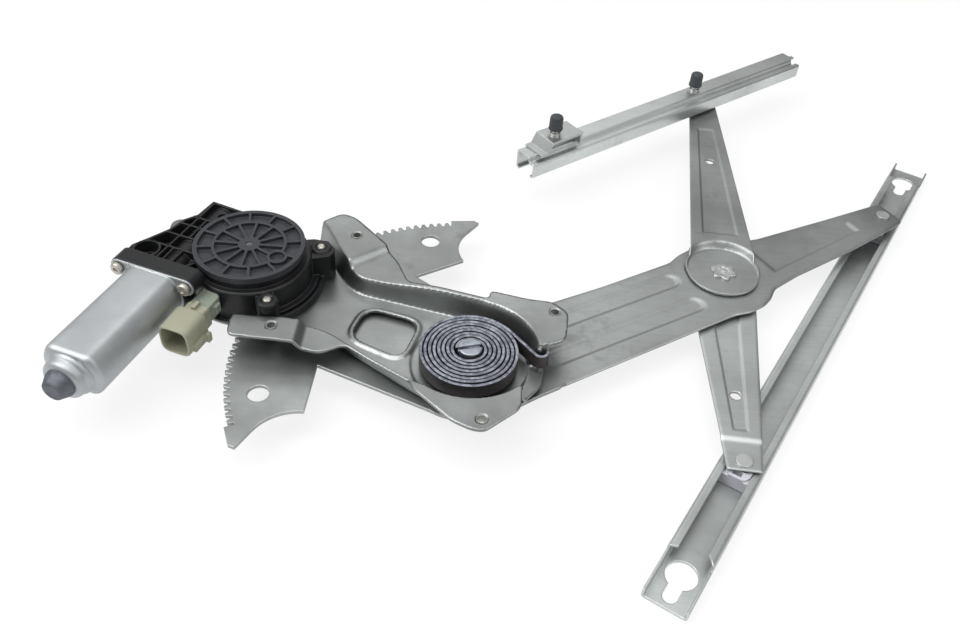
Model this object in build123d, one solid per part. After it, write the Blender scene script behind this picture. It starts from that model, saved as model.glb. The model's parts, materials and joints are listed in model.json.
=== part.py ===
from build123d import *
import math
import os

# Cross-arm window regulator, driven by a worm-gear motor.
# Millimetres. While it is modelled the pivot of the lift arm is the origin, z = 0 is the top of the
# toothed sector, +X runs along the door and +Z points at the door panel. The finished parts are
# moved together so that the origin is the middle of the underside of their bounding box.

# Linkage: pivot P, crossing M, glass channel pins A and C, guide rail pin B
ARM_ANGLE = 32.95
CROSSING_REACH = 225.5
CHANNEL_ARM = 179.0
RAIL_ARM = 245.0
EQUALISER_ANGLE = 87.0
RAIL_ANGLE = 39.6

# Clearances
FIT = 0.05
GAP = 0.3

# Toothed sector
MODULE = 2.0
SECTOR_TEETH_FULL = 160
TEETH_BEFORE = 26
TEETH_AFTER = 21
SECTOR_AXIS = 150.9
SECTOR_T = 2.5
SECTOR_ADDENDUM = 1.3
SECTOR_DEDENDUM = 2.7
SECTOR_TOOTH = 3.0
SECTOR_HUB_R = 47.0
SECTOR_HOLE_R = 7.15
SECTOR_HOLE_REACH = 139.4
SECTOR_HOLE_ANGLE = 45.0
RIVET_R = 3.5
RIVET_REACH = 32.0

# Pinion and worm drive
PINION_TEETH = 14
PINION_ADDENDUM = 2.2
PINION_DEDENDUM = 1.7
PINION_TOOTH = 3.05
PRESSURE_ANGLE = 20.0
DRIVE_ANGLE = 157.2
WHEEL_TEETH = 74
WHEEL_MODULE = 1.0
WHEEL_WIDTH = 7.0
WORM_PITCH_R = 6.0
MOTOR_ANGLE = 72.0
MOTOR_Z = 22.0

# Main arm
ARM_T = 2.5
ARM_RIM = 1.5
ARM_BEND = 3.5
GROOVE_DEPTH = 1.5
GROOVE_W = 12.0
GROOVE_END = 184.0
GROOVES = (8.5, -21.5)

# Equaliser
EQ_T = 2.0
EQ_DISC_R = 27.7
EQ_RISE = 5.5
EQ_PANEL = 0.7
EQ_TIP_R = 13.5
SPACER_T = 0.8
LOWER_SPACER_T = 2.0
LOWER_JOGGLE = 1.5
EQ_HOLE_R = 3.6
EQ_HOLE_UP = 144.5
EQ_HOLE_DOWN = 122.0

# Base plate
BASE_T = 2.0
BASE_GAP = 1.0
DISH_H = 19.0
POCKET_R = 48.0
BEND_R = 4.0

# Pivot and spring
SHANK_R = 7.0
ARBOR_R = 8.0
SPRING_T = 1.6
SPRING_W = 11.0
SPRING_FLOOR = 5.5
SPRING_START_R = 9.3
SPRING_PITCH = 3.6
SPRING_HALF_TURNS = 12
SPRING_END_ANGLE = 40.0
SPRING_TAIL = 32.0
HOOK_R = 4.5

# Gearbox and motor
COVER_R = 38.8
COVER_TOP = 37.8
COVER_T = 4.8
CUP_R = 37.5
CASE_R = 42.5
CASE_TOP = 27.5
CASE_WALL = 3.0
EAR_REACH = 49.7
EAR_ANGLES = (21.3, 126.0, 295.3)
CAN_R = 21.8
CAN_FLAT = 16.5
CAN_WALL = 1.6
CAN_FACE = -53.0
CAN_END = -137.0
SHAFT_R = 2.5

# Glass channel
CHANNEL_W = 29.0
CHANNEL_H = 12.5
CHANNEL_T = 1.5
CHANNEL_TOP = -11.5
CHANNEL_NEAR = -116.0
CHANNEL_FAR = 436.0
LIP_W = 6.0
LIP_NEAR = -84.0
LIP_FAR = 402.0
KEY_R = 10.0
KEY_SLOT_R = 4.6
KEY_SLOT = 16.5
KEYS = (-91.0, 414.7)

# Guide rail
RAIL_W = 22.5
RAIL_H = 17.5
RAIL_T = 1.5
RAIL_Z = 8.0
RAIL_START = -219.6
RAIL_END = 124.4
RAIL_SLOT = 14.5
STUD_ONE = -189.2
STUD_TWO = -13.8
STUD_R = 3.0
CAP_R = 4.8

# Levels and places that follow from the sizes above
BASE_Z = BASE_GAP
FLOOR_Z = BASE_Z + BASE_T
TAB_Z = BASE_Z + DISH_H
ARM_TOP = -SECTOR_T
ARM_Z = ARM_TOP - ARM_T
UPPER_Z = ARM_TOP + SPACER_T
LOWER_TOP = ARM_Z - LOWER_SPACER_T
LOWER_Z = LOWER_TOP - EQ_T
CHANNEL_Z = CHANNEL_TOP - CHANNEL_H
PINION_R = MODULE * PINION_TEETH / 2
SECTOR_R = MODULE * SECTOR_TEETH_FULL / 2
TOOTH_STEP = 360 / SECTOR_TEETH_FULL
WHEEL_R = WHEEL_MODULE * WHEEL_TEETH / 2
STUD_LINE = RAIL_W / 2 - 7.5


def polar(radius, degrees, centre=(0, 0)):
    """The point at a radius and an angle about a centre."""
    turn = math.radians(degrees)
    return (centre[0] + radius * math.cos(turn), centre[1] + radius * math.sin(turn))


CROSSING = polar(CROSSING_REACH, ARM_ANGLE)
PIN_A = polar(CROSSING_REACH + CHANNEL_ARM, ARM_ANGLE)
PIN_B = polar(RAIL_ARM, EQUALISER_ANGLE, CROSSING)
PIN_C = polar(-CHANNEL_ARM, EQUALISER_ANGLE, CROSSING)
CHANNEL_SPAN = math.dist(PIN_A, PIN_C)
CHANNEL_ANGLE = math.degrees(math.atan2(PIN_A[1] - PIN_C[1], PIN_A[0] - PIN_C[0]))
DRIVE = polar(SECTOR_R + PINION_R, DRIVE_ANGLE)
SHAFT_FOOT = polar(WHEEL_R + WORM_PITCH_R, MOTOR_ANGLE + 90, DRIVE)

ARM_FRAME = Rot(0, 0, ARM_ANGLE)
SECTOR_FRAME = Rot(0, 0, SECTOR_AXIS)
EQ_FRAME = Pos(*CROSSING, 0) * Rot(0, 0, EQUALISER_ANGLE)
CHANNEL_FRAME = Pos(*PIN_C, 0) * Rot(0, 0, CHANNEL_ANGLE)
RAIL_FRAME = Pos(*PIN_B, 0) * Rot(0, 0, RAIL_ANGLE)
MOTOR_FRAME = Pos(*SHAFT_FOOT, MOTOR_Z) * Rot(0, 0, MOTOR_ANGLE)
DRIVE_FRAME = Pos(*DRIVE, 0)


def outline(points, rounding=0.0):
    """A closed polygon with all its corners rounded."""
    face = make_face(Polyline(*points, close=True))
    return fillet(face.vertices(), rounding) if rounding else face


def slab(shape, low, high, taper=0.0):
    """A flat outline raised between two levels."""
    return extrude(Pos(0, 0, low) * shape, high - low, taper=taper)


def sink(shape, top, depth, taper=0.0):
    """A flat outline carried down from a level."""
    return extrude(Pos(0, 0, top) * shape, depth, dir=(0, 0, -1), taper=taper)


def disc(radius, low, high, at=(0, 0)):
    return Pos(at[0], at[1], (low + high) / 2) * Cylinder(radius, high - low)


def ring(outer, inner, low, high, at=(0, 0)):
    return disc(outer, low, high, at) - disc(inner, low, high, at)


def bar(start, end, width):
    """A flat strip with round ends between two points."""
    length = math.dist(start, end)
    middle = ((start[0] + end[0]) / 2, (start[1] + end[1]) / 2)
    angle = math.degrees(math.atan2(end[1] - start[1], end[0] - start[0]))
    return Pos(*middle) * Rot(0, 0, angle) * SlotCenterToCenter(length, width)


def band(start, end, width):
    """A flat strip with square ends between two points."""
    length = math.dist(start, end)
    middle = ((start[0] + end[0]) / 2, (start[1] + end[1]) / 2)
    angle = math.degrees(math.atan2(end[1] - start[1], end[0] - start[0]))
    return Pos(*middle) * Rot(0, 0, angle) * Rectangle(length, width)


def arc_band(centre, radius, width, start, size):
    """A strip of even width along an arc."""
    inner = radius - width / 2
    outer = radius + width / 2
    end = start + size
    mid = start + size / 2
    edges = [
        ThreePointArc(polar(inner, start, centre), polar(inner, mid, centre), polar(inner, end, centre)),
        Line(polar(inner, end, centre), polar(outer, end, centre)),
        ThreePointArc(polar(outer, end, centre), polar(outer, mid, centre), polar(outer, start, centre)),
        Line(polar(outer, start, centre), polar(inner, start, centre)),
    ]
    return make_face(edges)


def sheet_profile(path, thickness):
    """The side view of a bent sheet: a path widened to its right by the sheet's thickness."""
    normals = []
    for (x0, y0), (x1, y1) in zip(path, path[1:]):
        length = math.dist((x0, y0), (x1, y1))
        normals.append(((y1 - y0) / length, (x0 - x1) / length))
    shifted = []
    for index, (x, y) in enumerate(path):
        before = normals[max(index - 1, 0)]
        after = normals[min(index, len(normals) - 1)]
        scale = thickness / (1 + before[0] * after[0] + before[1] * after[1])
        shifted.append((x + (before[0] + after[0]) * scale, y + (before[1] + after[1]) * scale))
    return make_face(Polyline(*path, *reversed(shifted), close=True))


def involute(angle):
    return math.tan(angle) - angle


def tooth(radii, pitch_radius, thickness, middle):
    """Points of one tooth, up one flank and down the other. Each flank is an involute of the base
    circle, and runs straight to the root below it."""
    pressure = math.radians(PRESSURE_ANGLE)
    base = pitch_radius * math.cos(pressure)
    rising = []
    for radius in radii:
        lean = math.acos(min(1.0, base / radius))
        half = thickness / (2 * pitch_radius) + involute(pressure) - involute(lean)
        rising.append((radius, math.degrees(half)))
    points = [polar(radius, middle - half) for radius, half in rising]
    points += [polar(radius, middle + half) for radius, half in reversed(rising)]
    return points


def rivet_places():
    return [polar(RIVET_REACH, SECTOR_AXIS + 45 + 90 * quarter) for quarter in range(4)]


def sector_plate():
    """Toothed sector with a neck to its hub, a stop lug past each end of the teeth and two holes."""
    root = SECTOR_R - SECTOR_DEDENDUM
    tip = SECTOR_R + SECTOR_ADDENDUM
    first = DRIVE_ANGLE - SECTOR_AXIS - TOOTH_STEP * (TEETH_BEFORE - 0.5)
    teeth = []
    for index in range(TEETH_BEFORE + TEETH_AFTER):
        teeth += tooth((root, SECTOR_R, tip), SECTOR_R, SECTOR_TOOTH, first + TOOTH_STEP * index)
    last = first + TOOTH_STEP * (TEETH_BEFORE + TEETH_AFTER - 1)

    def lug(side, edge):
        return [
            polar(root, edge + side * 1.2),
            polar(tip + 2.5, edge + side * 1.4),
            polar(tip + 3.5, side * 58.9),
            polar(tip + 0.7, side * 60.2),
            polar(SECTOR_R - 11.6, side * 56.7),
        ]

    neck = (84.0, 57.0)
    corner = polar(114.0, 55.3)
    hub = SECTOR_HUB_R
    before = lug(-1, first)
    after = lug(1, last)
    edges = [
        ThreePointArc((corner[0], -corner[1]), polar(131.0, -53.9), before[-1]),
        Polyline(*reversed(before), *teeth, *after),
        ThreePointArc(after[-1], polar(131.0, 53.9), corner),
        Polyline(corner, neck, (0, hub)),
        ThreePointArc((0, hub), (-hub, 0), (0, -hub)),
        Polyline((0, -hub), (neck[0], -neck[1]), (corner[0], -corner[1])),
    ]
    shape = make_face(edges)
    for side in (-1, 1):
        place = polar(SECTOR_HOLE_REACH, side * SECTOR_HOLE_ANGLE)
        shape -= Pos(*place) * Circle(SECTOR_HOLE_R)
    plate = SECTOR_FRAME * slab(shape, -SECTOR_T, 0)
    plate -= disc(SHANK_R, -SECTOR_T, 0)
    for place in rivet_places():
        plate -= disc(RIVET_R, -SECTOR_T, 0, place)
    return plate


def main_arm_outline():
    end = CROSSING_REACH + CHANNEL_ARM
    points = [
        (0.0, -44.5),
        (CROSSING_REACH - 10, -45.5),
        (CROSSING_REACH + 9, -43.0),
        (CROSSING_REACH + 28, -30.0),
        (CROSSING_REACH + 58, -24.0),
        (end - 5, -13.5),
        (end + 8, -11.0),
        (end + 8, 11.0),
        (end - 16, 14.0),
        (end - 48, 18.0),
        (end - 105, 22.0),
        (CROSSING_REACH + 30, 29.0),
        (CROSSING_REACH + 4, 32.0),
        (CROSSING_REACH - 22, 29.0),
        (CROSSING_REACH - 48, 24.5),
        (96.0, 21.0),
        (60.0, 26.0),
        (30.0, 36.0),
        (0.0, 44.0),
    ]
    return outline(points, 5.0)


def main_arm():
    """Pressed arm: edges rolled down, two long grooves pressed down, round hub under the sector."""
    strip = main_arm_outline()
    rolled = slab(strip, ARM_Z - ARM_RIM, ARM_TOP)
    top_edges = rolled.faces().sort_by(Axis.Z)[-1].edges()
    rolled = fillet(top_edges, ARM_BEND)
    rolled -= slab(offset(strip, -ARM_T), ARM_Z - ARM_RIM, ARM_Z)
    hub = SECTOR_HUB_R - 2
    rolled -= disc(hub + 8, ARM_Z - ARM_RIM, ARM_TOP)
    join = slab(strip & Circle(hub + 9), ARM_Z, ARM_TOP)
    arm = rolled + join + disc(hub, ARM_Z, ARM_TOP)
    for across in GROOVES:
        groove = bar((60, across), (GROOVE_END, across), GROOVE_W)
        arm += sink(groove, ARM_Z, GROOVE_DEPTH, taper=25)
        arm -= sink(bar((60, across), (GROOVE_END, across), GROOVE_W - 1), ARM_TOP, GROOVE_DEPTH, taper=25)
    arm -= disc(SHANK_R, ARM_Z, ARM_TOP)
    arm -= disc(SHANK_R, ARM_Z, ARM_TOP, (CROSSING_REACH, 0))
    arm -= disc(RIVET_R, ARM_Z, ARM_TOP, (CROSSING_REACH + CHANNEL_ARM, 0))
    arm = ARM_FRAME * arm
    for place in rivet_places():
        arm -= disc(RIVET_R, ARM_Z, ARM_TOP, place)
    return arm


def sector_rivets():
    rivets = []
    for place in rivet_places():
        shank = disc(RIVET_R, ARM_Z, 0, place)
        foot = disc(RIVET_R + 2, ARM_Z - 1.2, ARM_Z, place)
        rivets.append(shank + foot)
    return Part() + rivets


def pivot_arbor():
    """Stepped pin: riveted under the arm, running in the base plate, slotted for the spring."""
    top = SPRING_FLOOR + SPRING_W + 1.0
    arbor = disc(SHANK_R, ARM_Z, 0) + disc(ARBOR_R, 0, SPRING_FLOOR)
    arbor += disc(ARBOR_R - 0.6, SPRING_FLOOR, top)
    arbor += disc(SHANK_R + 3, ARM_Z - 1.5, ARM_Z)
    arbor = chamfer(arbor.faces().sort_by(Axis.Z)[-1].edges(), 0.8)
    slot_floor = SPRING_FLOOR - 0.2
    arbor -= Pos(-ARBOR_R / 2, 0, (slot_floor + top + 1) / 2) * Box(
        ARBOR_R + 2, SPRING_T + 0.2, top + 1 - slot_floor
    )
    return arbor


def pivot_washer():
    return ring(16.0, ARBOR_R, 0, BASE_GAP - GAP)


def balance_spring():
    """Flat spiral: half rings of growing radius about two centres a quarter pitch each side of the
    pivot, a straight tail and a hook. Its inner end lies in the arbor's slot."""
    step = SPRING_PITCH / 2
    shift = SPRING_PITCH / 4
    radius = SPRING_START_R
    strip = band((-radius + shift - SPRING_T / 2, 0), (-1.5, 0), SPRING_T)
    centre = (shift, 0)
    for half in range(SPRING_HALF_TURNS):
        upper = half % 2 == 0
        centre = (shift if upper else -shift, 0)
        strip += arc_band(centre, radius, SPRING_T, 0 if upper else 180, 180)
        radius += step
    centre = (shift, 0)
    strip += arc_band(centre, radius, SPRING_T, SPRING_END_ANGLE, 180 - SPRING_END_ANGLE)
    start = polar(radius, SPRING_END_ANGLE, centre)
    heading = SPRING_END_ANGLE - 90
    finish = polar(SPRING_TAIL, heading, start)
    strip += band(start, finish, SPRING_T)
    hook = polar(HOOK_R, heading + 90, finish)
    strip += arc_band(hook, HOOK_R, SPRING_T, heading - 90, 130)
    turned = polar(HOOK_R, heading + 40, hook)
    strip += band(turned, polar(6.0, heading + 130, turned), SPRING_T)
    return slab(strip, SPRING_FLOOR, SPRING_FLOOR + SPRING_W)


def hook_lug_place():
    shift = SPRING_PITCH / 4
    radius = SPRING_START_R + SPRING_HALF_TURNS * SPRING_PITCH / 2
    start = polar(radius, SPRING_END_ANGLE, (shift, 0))
    finish = polar(SPRING_TAIL, SPRING_END_ANGLE - 90, start)
    return polar(HOOK_R, SPRING_END_ANGLE, finish)


# Outlines of the base plate, clockwise from the lower wall's left end
DISH = [(-140.0, 33.0), (-97.0, 8.0), (-30.0, -37.0), (20.0, -44.0), (46.0, -14.0), (47.0, 10.0),
        (12.0, 47.0), (-50.0, 61.0), (-86.0, 68.0), (-140.0, 96.0)]
WINDOW = [(-75.0, 46.0), (-37.0, 36.0), (-46.0, 0.0), (-83.0, 17.0)]
TAB_LOWER_RIGHT = [(-31.0, -37.0), (-6.0, -66.0), (12.0, -72.0), (34.0, -49.0), (34.0, -34.0), (0.0, -47.0)]
TAB_UPPER_RIGHT = [(47.0, 5.0), (52.0, 8.0), (64.0, 15.0), (65.0, 40.0), (55.0, 50.0), (38.0, 51.0),
                   (12.0, 57.0), (11.0, 46.6), (37.0, 30.0)]
LEG_UPPER = [(-118.0, 122.0), (-104.0, 134.0), (-89.0, 125.0), (-67.0, 98.0), (-84.0, 88.0), (-100.0, 88.0)]
LEG_UPPER_STEP = [(-100.0, 90.0), (-84.0, 90.0), (-67.0, 99.0), (-50.0, 62.0), (-86.0, 67.0)]
LEG_LOWER = [(-161.0, 13.0), (-160.0, -4.0), (-154.0, -8.5), (-113.0, -10.0), (-113.0, 15.0)]
LEG_LOWER_STEP = [(-115.0, 15.0), (-115.0, -10.0), (-97.0, -17.0), (-84.0, -1.5), (-100.0, 13.0)]
NUTS = {
    "upper_left": (-91.4, 109.1),
    "lower_left": (-133.3, 5.4),
    "upper_right": (56.4, 40.2),
    "lower_right": (10.9, -62.9),
}
NUT_R = 5.0
NUT_H = 4.0
NUT_TOP = TAB_Z
THREAD_R = 3.0
STEP_DROP = 5.0


def base_plate():
    """Pressed dish with rolled bends, a window with a raised rim, and four legs with tabs."""
    dish = outline(DISH, 5.0)
    shell = slab(dish, BASE_Z, TAB_Z)
    shell = fillet(shell.faces().sort_by(Axis.Z)[0].edges(), BEND_R)
    hollow = slab(offset(dish, -BASE_T), FLOOR_Z, TAB_Z + 1)
    hollow = fillet(hollow.faces().sort_by(Axis.Z)[0].edges(), BEND_R - BASE_T)
    shell -= hollow
    pocket = disc(POCKET_R, BASE_Z, TAB_Z)
    pocket = fillet(pocket.faces().sort_by(Axis.Z)[0].edges(), BEND_R)
    well = disc(POCKET_R - BASE_T, FLOOR_Z, TAB_Z + 1)
    well = fillet(well.faces().sort_by(Axis.Z)[0].edges(), BEND_R - BASE_T)
    plate = (shell + pocket) - well - hollow
    # the dish is open towards the motor, and between the two right-hand tabs
    plate -= slab(outline([(-150, 130), (-150, 0), (-99, 5), (-90, 72), (-96, 130)]), FLOOR_Z, TAB_Z + 1)
    plate -= slab(outline([(30, -33), (60, -33), (60, 4), (40, 4)]), FLOOR_Z, TAB_Z + 1)
    plate += ring(CASE_R + 4, PINION_R + PINION_ADDENDUM + 1.5, BASE_Z, FLOOR_Z, DRIVE)
    plate -= disc(PINION_R + PINION_ADDENDUM + 1.5, BASE_Z, FLOOR_Z, DRIVE)
    for tab in (TAB_LOWER_RIGHT, TAB_UPPER_RIGHT, LEG_UPPER, LEG_LOWER):
        plate += slab(outline(tab, 3.0), TAB_Z - BASE_T, TAB_Z)
    plate -= well
    for step in (LEG_UPPER_STEP, LEG_LOWER_STEP):
        plate += slab(outline(step, 1.5), TAB_Z - BASE_T - STEP_DROP, TAB_Z - STEP_DROP)
    plate += slab(band((-102, 89), (-66, 98.5), BASE_T), TAB_Z - BASE_T - STEP_DROP, TAB_Z)
    plate += slab(band((-114, 15), (-114, -10), BASE_T), TAB_Z - BASE_T - STEP_DROP, TAB_Z)
    plate += slab(band((-116, 121), (-99, 88), BASE_T), BASE_Z, TAB_Z)
    plate += slab(band((-99, 88), (-86, 67), BASE_T), BASE_Z, TAB_Z - STEP_DROP)
    plate += slab(band((-160, 12), (-100, 14), BASE_T), TAB_Z - 10, TAB_Z - BASE_T)
    foot = outline([(-118, 122), (-112, 122), (-84, 68), (-110, 68), (-118, 100)])
    plate += slab(foot, BASE_Z, FLOOR_Z)
    lug = hook_lug_place()
    plate += Pos(lug[0], lug[1] + 2.5, (SPRING_FLOOR + TAB_Z) / 2) * Box(4.0, 9.0, TAB_Z - SPRING_FLOOR)
    rim = outline(WINDOW, 9.0)
    plate += slab(offset(rim, 3.0), FLOOR_Z, FLOOR_Z + 1.5, taper=20)
    plate -= slab(rim, BASE_Z, FLOOR_Z + 1.5)
    plate += ring(13.0, ARBOR_R + FIT, BASE_Z, SPRING_FLOOR - GAP)
    plate -= disc(ARBOR_R + FIT, BASE_Z, SPRING_FLOOR)
    for place in NUTS.values():
        plate -= disc(THREAD_R + 0.6, TAB_Z - BASE_T, TAB_Z, place)
    for angle in EAR_ANGLES:
        plate -= disc(SCREW_R, BASE_Z, FLOOR_Z, polar(EAR_REACH, angle, DRIVE))
    return plate


SCREW_R = 2.5
SCREW_HEAD_R = 4.5


def weld_nuts():
    nuts = []
    for place in NUTS.values():
        collar = disc(THREAD_R + 0.6, TAB_Z - BASE_T, NUT_TOP, place)
        nut = disc(NUT_R, TAB_Z - BASE_T - NUT_H, TAB_Z - BASE_T, place)
        nuts.append(nut + collar - disc(THREAD_R, TAB_Z - BASE_T - NUT_H, NUT_TOP, place))
    return Part() + nuts


def upper_arm():
    """Half arm above the main arm: a disc at the crossing, a curved step up, a tapered blade with a
    pressed panel and a hole, and a round end."""
    top = UPPER_Z + EQ_T
    blade_z = UPPER_Z + EQ_RISE
    root = EQ_DISC_R
    points = [(0, -root), (36, -root + 0.5), (RAIL_ARM, -EQ_TIP_R), (RAIL_ARM, EQ_TIP_R), (36, root - 0.5),
              (0, root)]
    blade = outline(points) + Pos(RAIL_ARM, 0) * Circle(EQ_TIP_R)
    ramp_out = root + EQ_RISE
    arm = disc(root, UPPER_Z, top)
    arm += slab(blade - Circle(ramp_out), blade_z, blade_z + EQ_T)
    profile = [(root - 1, UPPER_Z), (root - 1, top), (ramp_out, blade_z + EQ_T), (ramp_out, blade_z)]
    ramp = revolve(Plane.XZ * make_face(Polyline(*profile, close=True)), Axis.Z)
    arm += ramp & slab(blade - Circle(root - 1.5), UPPER_Z, blade_z + EQ_T)
    panel = [(48, -15), (RAIL_ARM - 38, -7.5), (RAIL_ARM - 38, 7.5), (48, 15)]
    arm += sink(outline(panel, 5.0), blade_z, EQ_PANEL, taper=40)
    arm -= sink(outline(panel, 5.0), blade_z + EQ_T, EQ_PANEL, taper=40)
    arm -= disc(EQ_HOLE_R, blade_z - EQ_PANEL, blade_z + EQ_T, (EQ_HOLE_UP, 0))
    arm -= disc(SHANK_R, UPPER_Z, top)
    arm -= disc(RIVET_R, blade_z, blade_z + EQ_T, (RAIL_ARM, 0))
    return EQ_FRAME * arm


def lower_arm():
    """Half arm below the main arm: round root, tapered blade with a long bead, joggled square end."""
    reach = CHANNEL_ARM
    points = [(0, -25), (-32, -24.5), (-reach - 12, -11.5), (-reach - 12, 11.5), (-32, 24.5), (0, 25)]
    shape = outline(points, 2.0) + Circle(26.0)
    bend = reach - 20
    path = [(30, LOWER_TOP), (-bend, LOWER_TOP), (-bend - 4, LOWER_TOP - LOWER_JOGGLE),
            (-reach - 20, LOWER_TOP - LOWER_JOGGLE)]
    side = extrude(Plane.XZ * sheet_profile(list(reversed(path)), EQ_T), 40, both=True)
    arm = side & slab(shape, LOWER_Z - LOWER_JOGGLE - 1, LOWER_TOP + 1)
    bead = bar((-46, 0), (-reach + 42, 0), 11.0)
    arm -= sink(bead, LOWER_TOP, 0.8, taper=30)
    arm += sink(bead, LOWER_Z, 0.8, taper=30)
    arm -= disc(EQ_HOLE_R, LOWER_Z - 1, LOWER_TOP, (-EQ_HOLE_DOWN, 0))
    arm -= disc(SHANK_R, LOWER_Z, LOWER_TOP)
    arm -= disc(RIVET_R, LOWER_Z - LOWER_JOGGLE, LOWER_TOP - LOWER_JOGGLE, (-reach, 0))
    return EQ_FRAME * arm


def crossing_spacers():
    """Plain washers each side of the main arm, on the crossing rivet."""
    upper = ring(24.0, SHANK_R, ARM_TOP + GAP, UPPER_Z)
    lower = ring(18.0, SHANK_R, LOWER_TOP, ARM_Z - GAP)
    return EQ_FRAME * (Part() + [upper, lower])


def crossing_rivet():
    """Shank that turns in the main arm, with a star-shaped staked head."""
    top = UPPER_Z + EQ_T
    shank = disc(SHANK_R, LOWER_Z, top)
    shank -= ring(SHANK_R + 1, SHANK_R - FIT, ARM_Z - GAP, ARM_TOP + GAP)
    head = disc(6.0, top, top + 1.6)
    for lobe in range(6):
        head += disc(2.0, top, top + 1.6, polar(6.6, 60 * lobe))
    head -= disc(1.6, top + 0.4, top + 1.6)
    foot = disc(SHANK_R + 3.5, LOWER_Z - 1.5, LOWER_Z)
    return EQ_FRAME * (shank + head + foot)


def pin(top, bottom, head_top, collar, ball_low):
    """Riveted pin: shank through the arm, collar against it, round neck down into the shoe."""
    body = disc(RIVET_R, bottom, top)
    body += disc(RIVET_R + 2, top, head_top)
    body += disc(RIVET_R + 1.0, collar, bottom)
    body += disc(RIVET_R + 0.5, ball_low, collar)
    return body


SHOE_L = 26.0
SHOE_BORE_R = RIVET_R + 0.5 + FIT
NECK_LOW = CHANNEL_Z + CHANNEL_T + 2.0


def arm_pin():
    """Pin A, riveted to the tip of the main arm."""
    body = pin(ARM_TOP, ARM_Z, ARM_TOP + 1.2, CHANNEL_TOP + 1.5, NECK_LOW)
    return Pos(*PIN_A, 0) * body


def equaliser_channel_pin():
    """Pin C, riveted to the joggled end of the lower half arm."""
    top = LOWER_TOP - LOWER_JOGGLE
    body = pin(top, LOWER_Z - LOWER_JOGGLE, top + 1.0, LOWER_Z - LOWER_JOGGLE - 0.4, NECK_LOW)
    return Pos(*PIN_C, 0) * body


def equaliser_rail_pin():
    """Pin B, riveted to the tip of the upper half arm, its neck up in the guide rail."""
    low = UPPER_Z + EQ_RISE
    body = disc(RIVET_R, low, low + EQ_T)
    body += disc(RIVET_R + 2, low - 1.2, low)
    body += disc(RIVET_R + 1.5, low + EQ_T, RAIL_Z + RAIL_T)
    body += disc(RIVET_R + 0.5, RAIL_Z + RAIL_T, RAIL_Z + 10.0)
    return Pos(*PIN_B, 0) * body


def channel_shoe(at):
    """Sliding block in the glass channel, with a raised nose between the lips and a small pocket."""
    low = CHANNEL_Z + CHANNEL_T + GAP
    high = CHANNEL_TOP - CHANNEL_T - GAP
    body = slab(RectangleRounded(SHOE_L, CHANNEL_W - 2 * CHANNEL_T - 2 * GAP, 4.0), low, high)
    nose = SlotCenterToCenter(SHOE_L - 14, CHANNEL_W - 2 * LIP_W - 2 * GAP)
    body += slab(nose & Rectangle(SHOE_L, 40), high, CHANNEL_TOP - 0.2)
    body = body - Pos(-9.0, 0, high) * Box(3.5, 6.0, 5.0)
    body -= disc(SHOE_BORE_R, low, CHANNEL_TOP)
    return CHANNEL_FRAME * (Pos(at, 0, 0) * body)


def channel_shoe_clip(at):
    """Spring clip pressed round the shoe's nose, gripping the pin."""
    plate = RectangleRounded(15.0, 12.0, 2.0) - Circle(RIVET_R + 1.8) - Pos(6, 0) * Rectangle(6, 3)
    clip = slab(plate, CHANNEL_TOP - 0.2, CHANNEL_TOP + 0.6)
    return CHANNEL_FRAME * (Pos(at, 0, 0) * clip)


def rail_shoe():
    """Sliding block in the guide rail, bored from below for pin B."""
    low = RAIL_Z + RAIL_T + GAP
    high = RAIL_Z + 13.0 - RAIL_T - GAP
    body = slab(RectangleRounded(SHOE_L, RAIL_W - 2 * RAIL_T - 2 * GAP, 3.0), low, high)
    crest = Pos(0, 3.0) * RectangleRounded(SHOE_L, 11.0, 2.0)
    body += slab(crest, high, RAIL_Z + RAIL_H - RAIL_T - GAP)
    body += slab(RectangleRounded(SHOE_L - 8, RAIL_SLOT - 2 * GAP, 2.0), RAIL_Z + 0.2, low)
    body -= disc(SHOE_BORE_R, low, RAIL_Z + 10.5)
    body -= disc(RIVET_R + 1.5 + GAP, RAIL_Z, low)
    return RAIL_FRAME * body


def channel_section():
    outer = RectangleRounded(CHANNEL_W, CHANNEL_H, 2.5)
    inner = RectangleRounded(CHANNEL_W - 2 * CHANNEL_T, CHANNEL_H - 2 * CHANNEL_T, 1.0)
    slot = Pos(0, CHANNEL_H / 2) * Rectangle(CHANNEL_W - 2 * LIP_W, 2 * CHANNEL_T + 1)
    return Pos(0, CHANNEL_Z + CHANNEL_H / 2) * (outer - inner - slot)


def glass_channel():
    """Folded channel, open upwards between its lips, with a keyhole past each end of the lips."""
    length = CHANNEL_FAR - CHANNEL_NEAR
    body = Pos(CHANNEL_NEAR, 0, 0) * extrude(Plane.YZ * channel_section(), length)
    half = CHANNEL_W / 2 + 1
    wall_top = CHANNEL_Z + 7.5
    near_cut = [(CHANNEL_NEAR - 1, -half), (LIP_NEAR, -half), (LIP_NEAR + 9, -half + LIP_W + 2),
                (LIP_NEAR, half), (CHANNEL_NEAR - 1, half)]
    far_cut = [(LIP_FAR, -half), (CHANNEL_FAR + 1, -half), (CHANNEL_FAR + 1, half), (LIP_FAR, half)]
    for cut in (near_cut, far_cut):
        body -= slab(outline(cut), wall_top, CHANNEL_TOP + 1)
    for key in KEYS:
        body -= disc(KEY_R, CHANNEL_Z, CHANNEL_Z + CHANNEL_T, (key, 0))
        slot = bar((key, 0), (key - KEY_SLOT, 0), 2 * KEY_SLOT_R)
        body -= slab(slot, CHANNEL_Z, CHANNEL_Z + CHANNEL_T)
    return CHANNEL_FRAME * body


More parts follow.
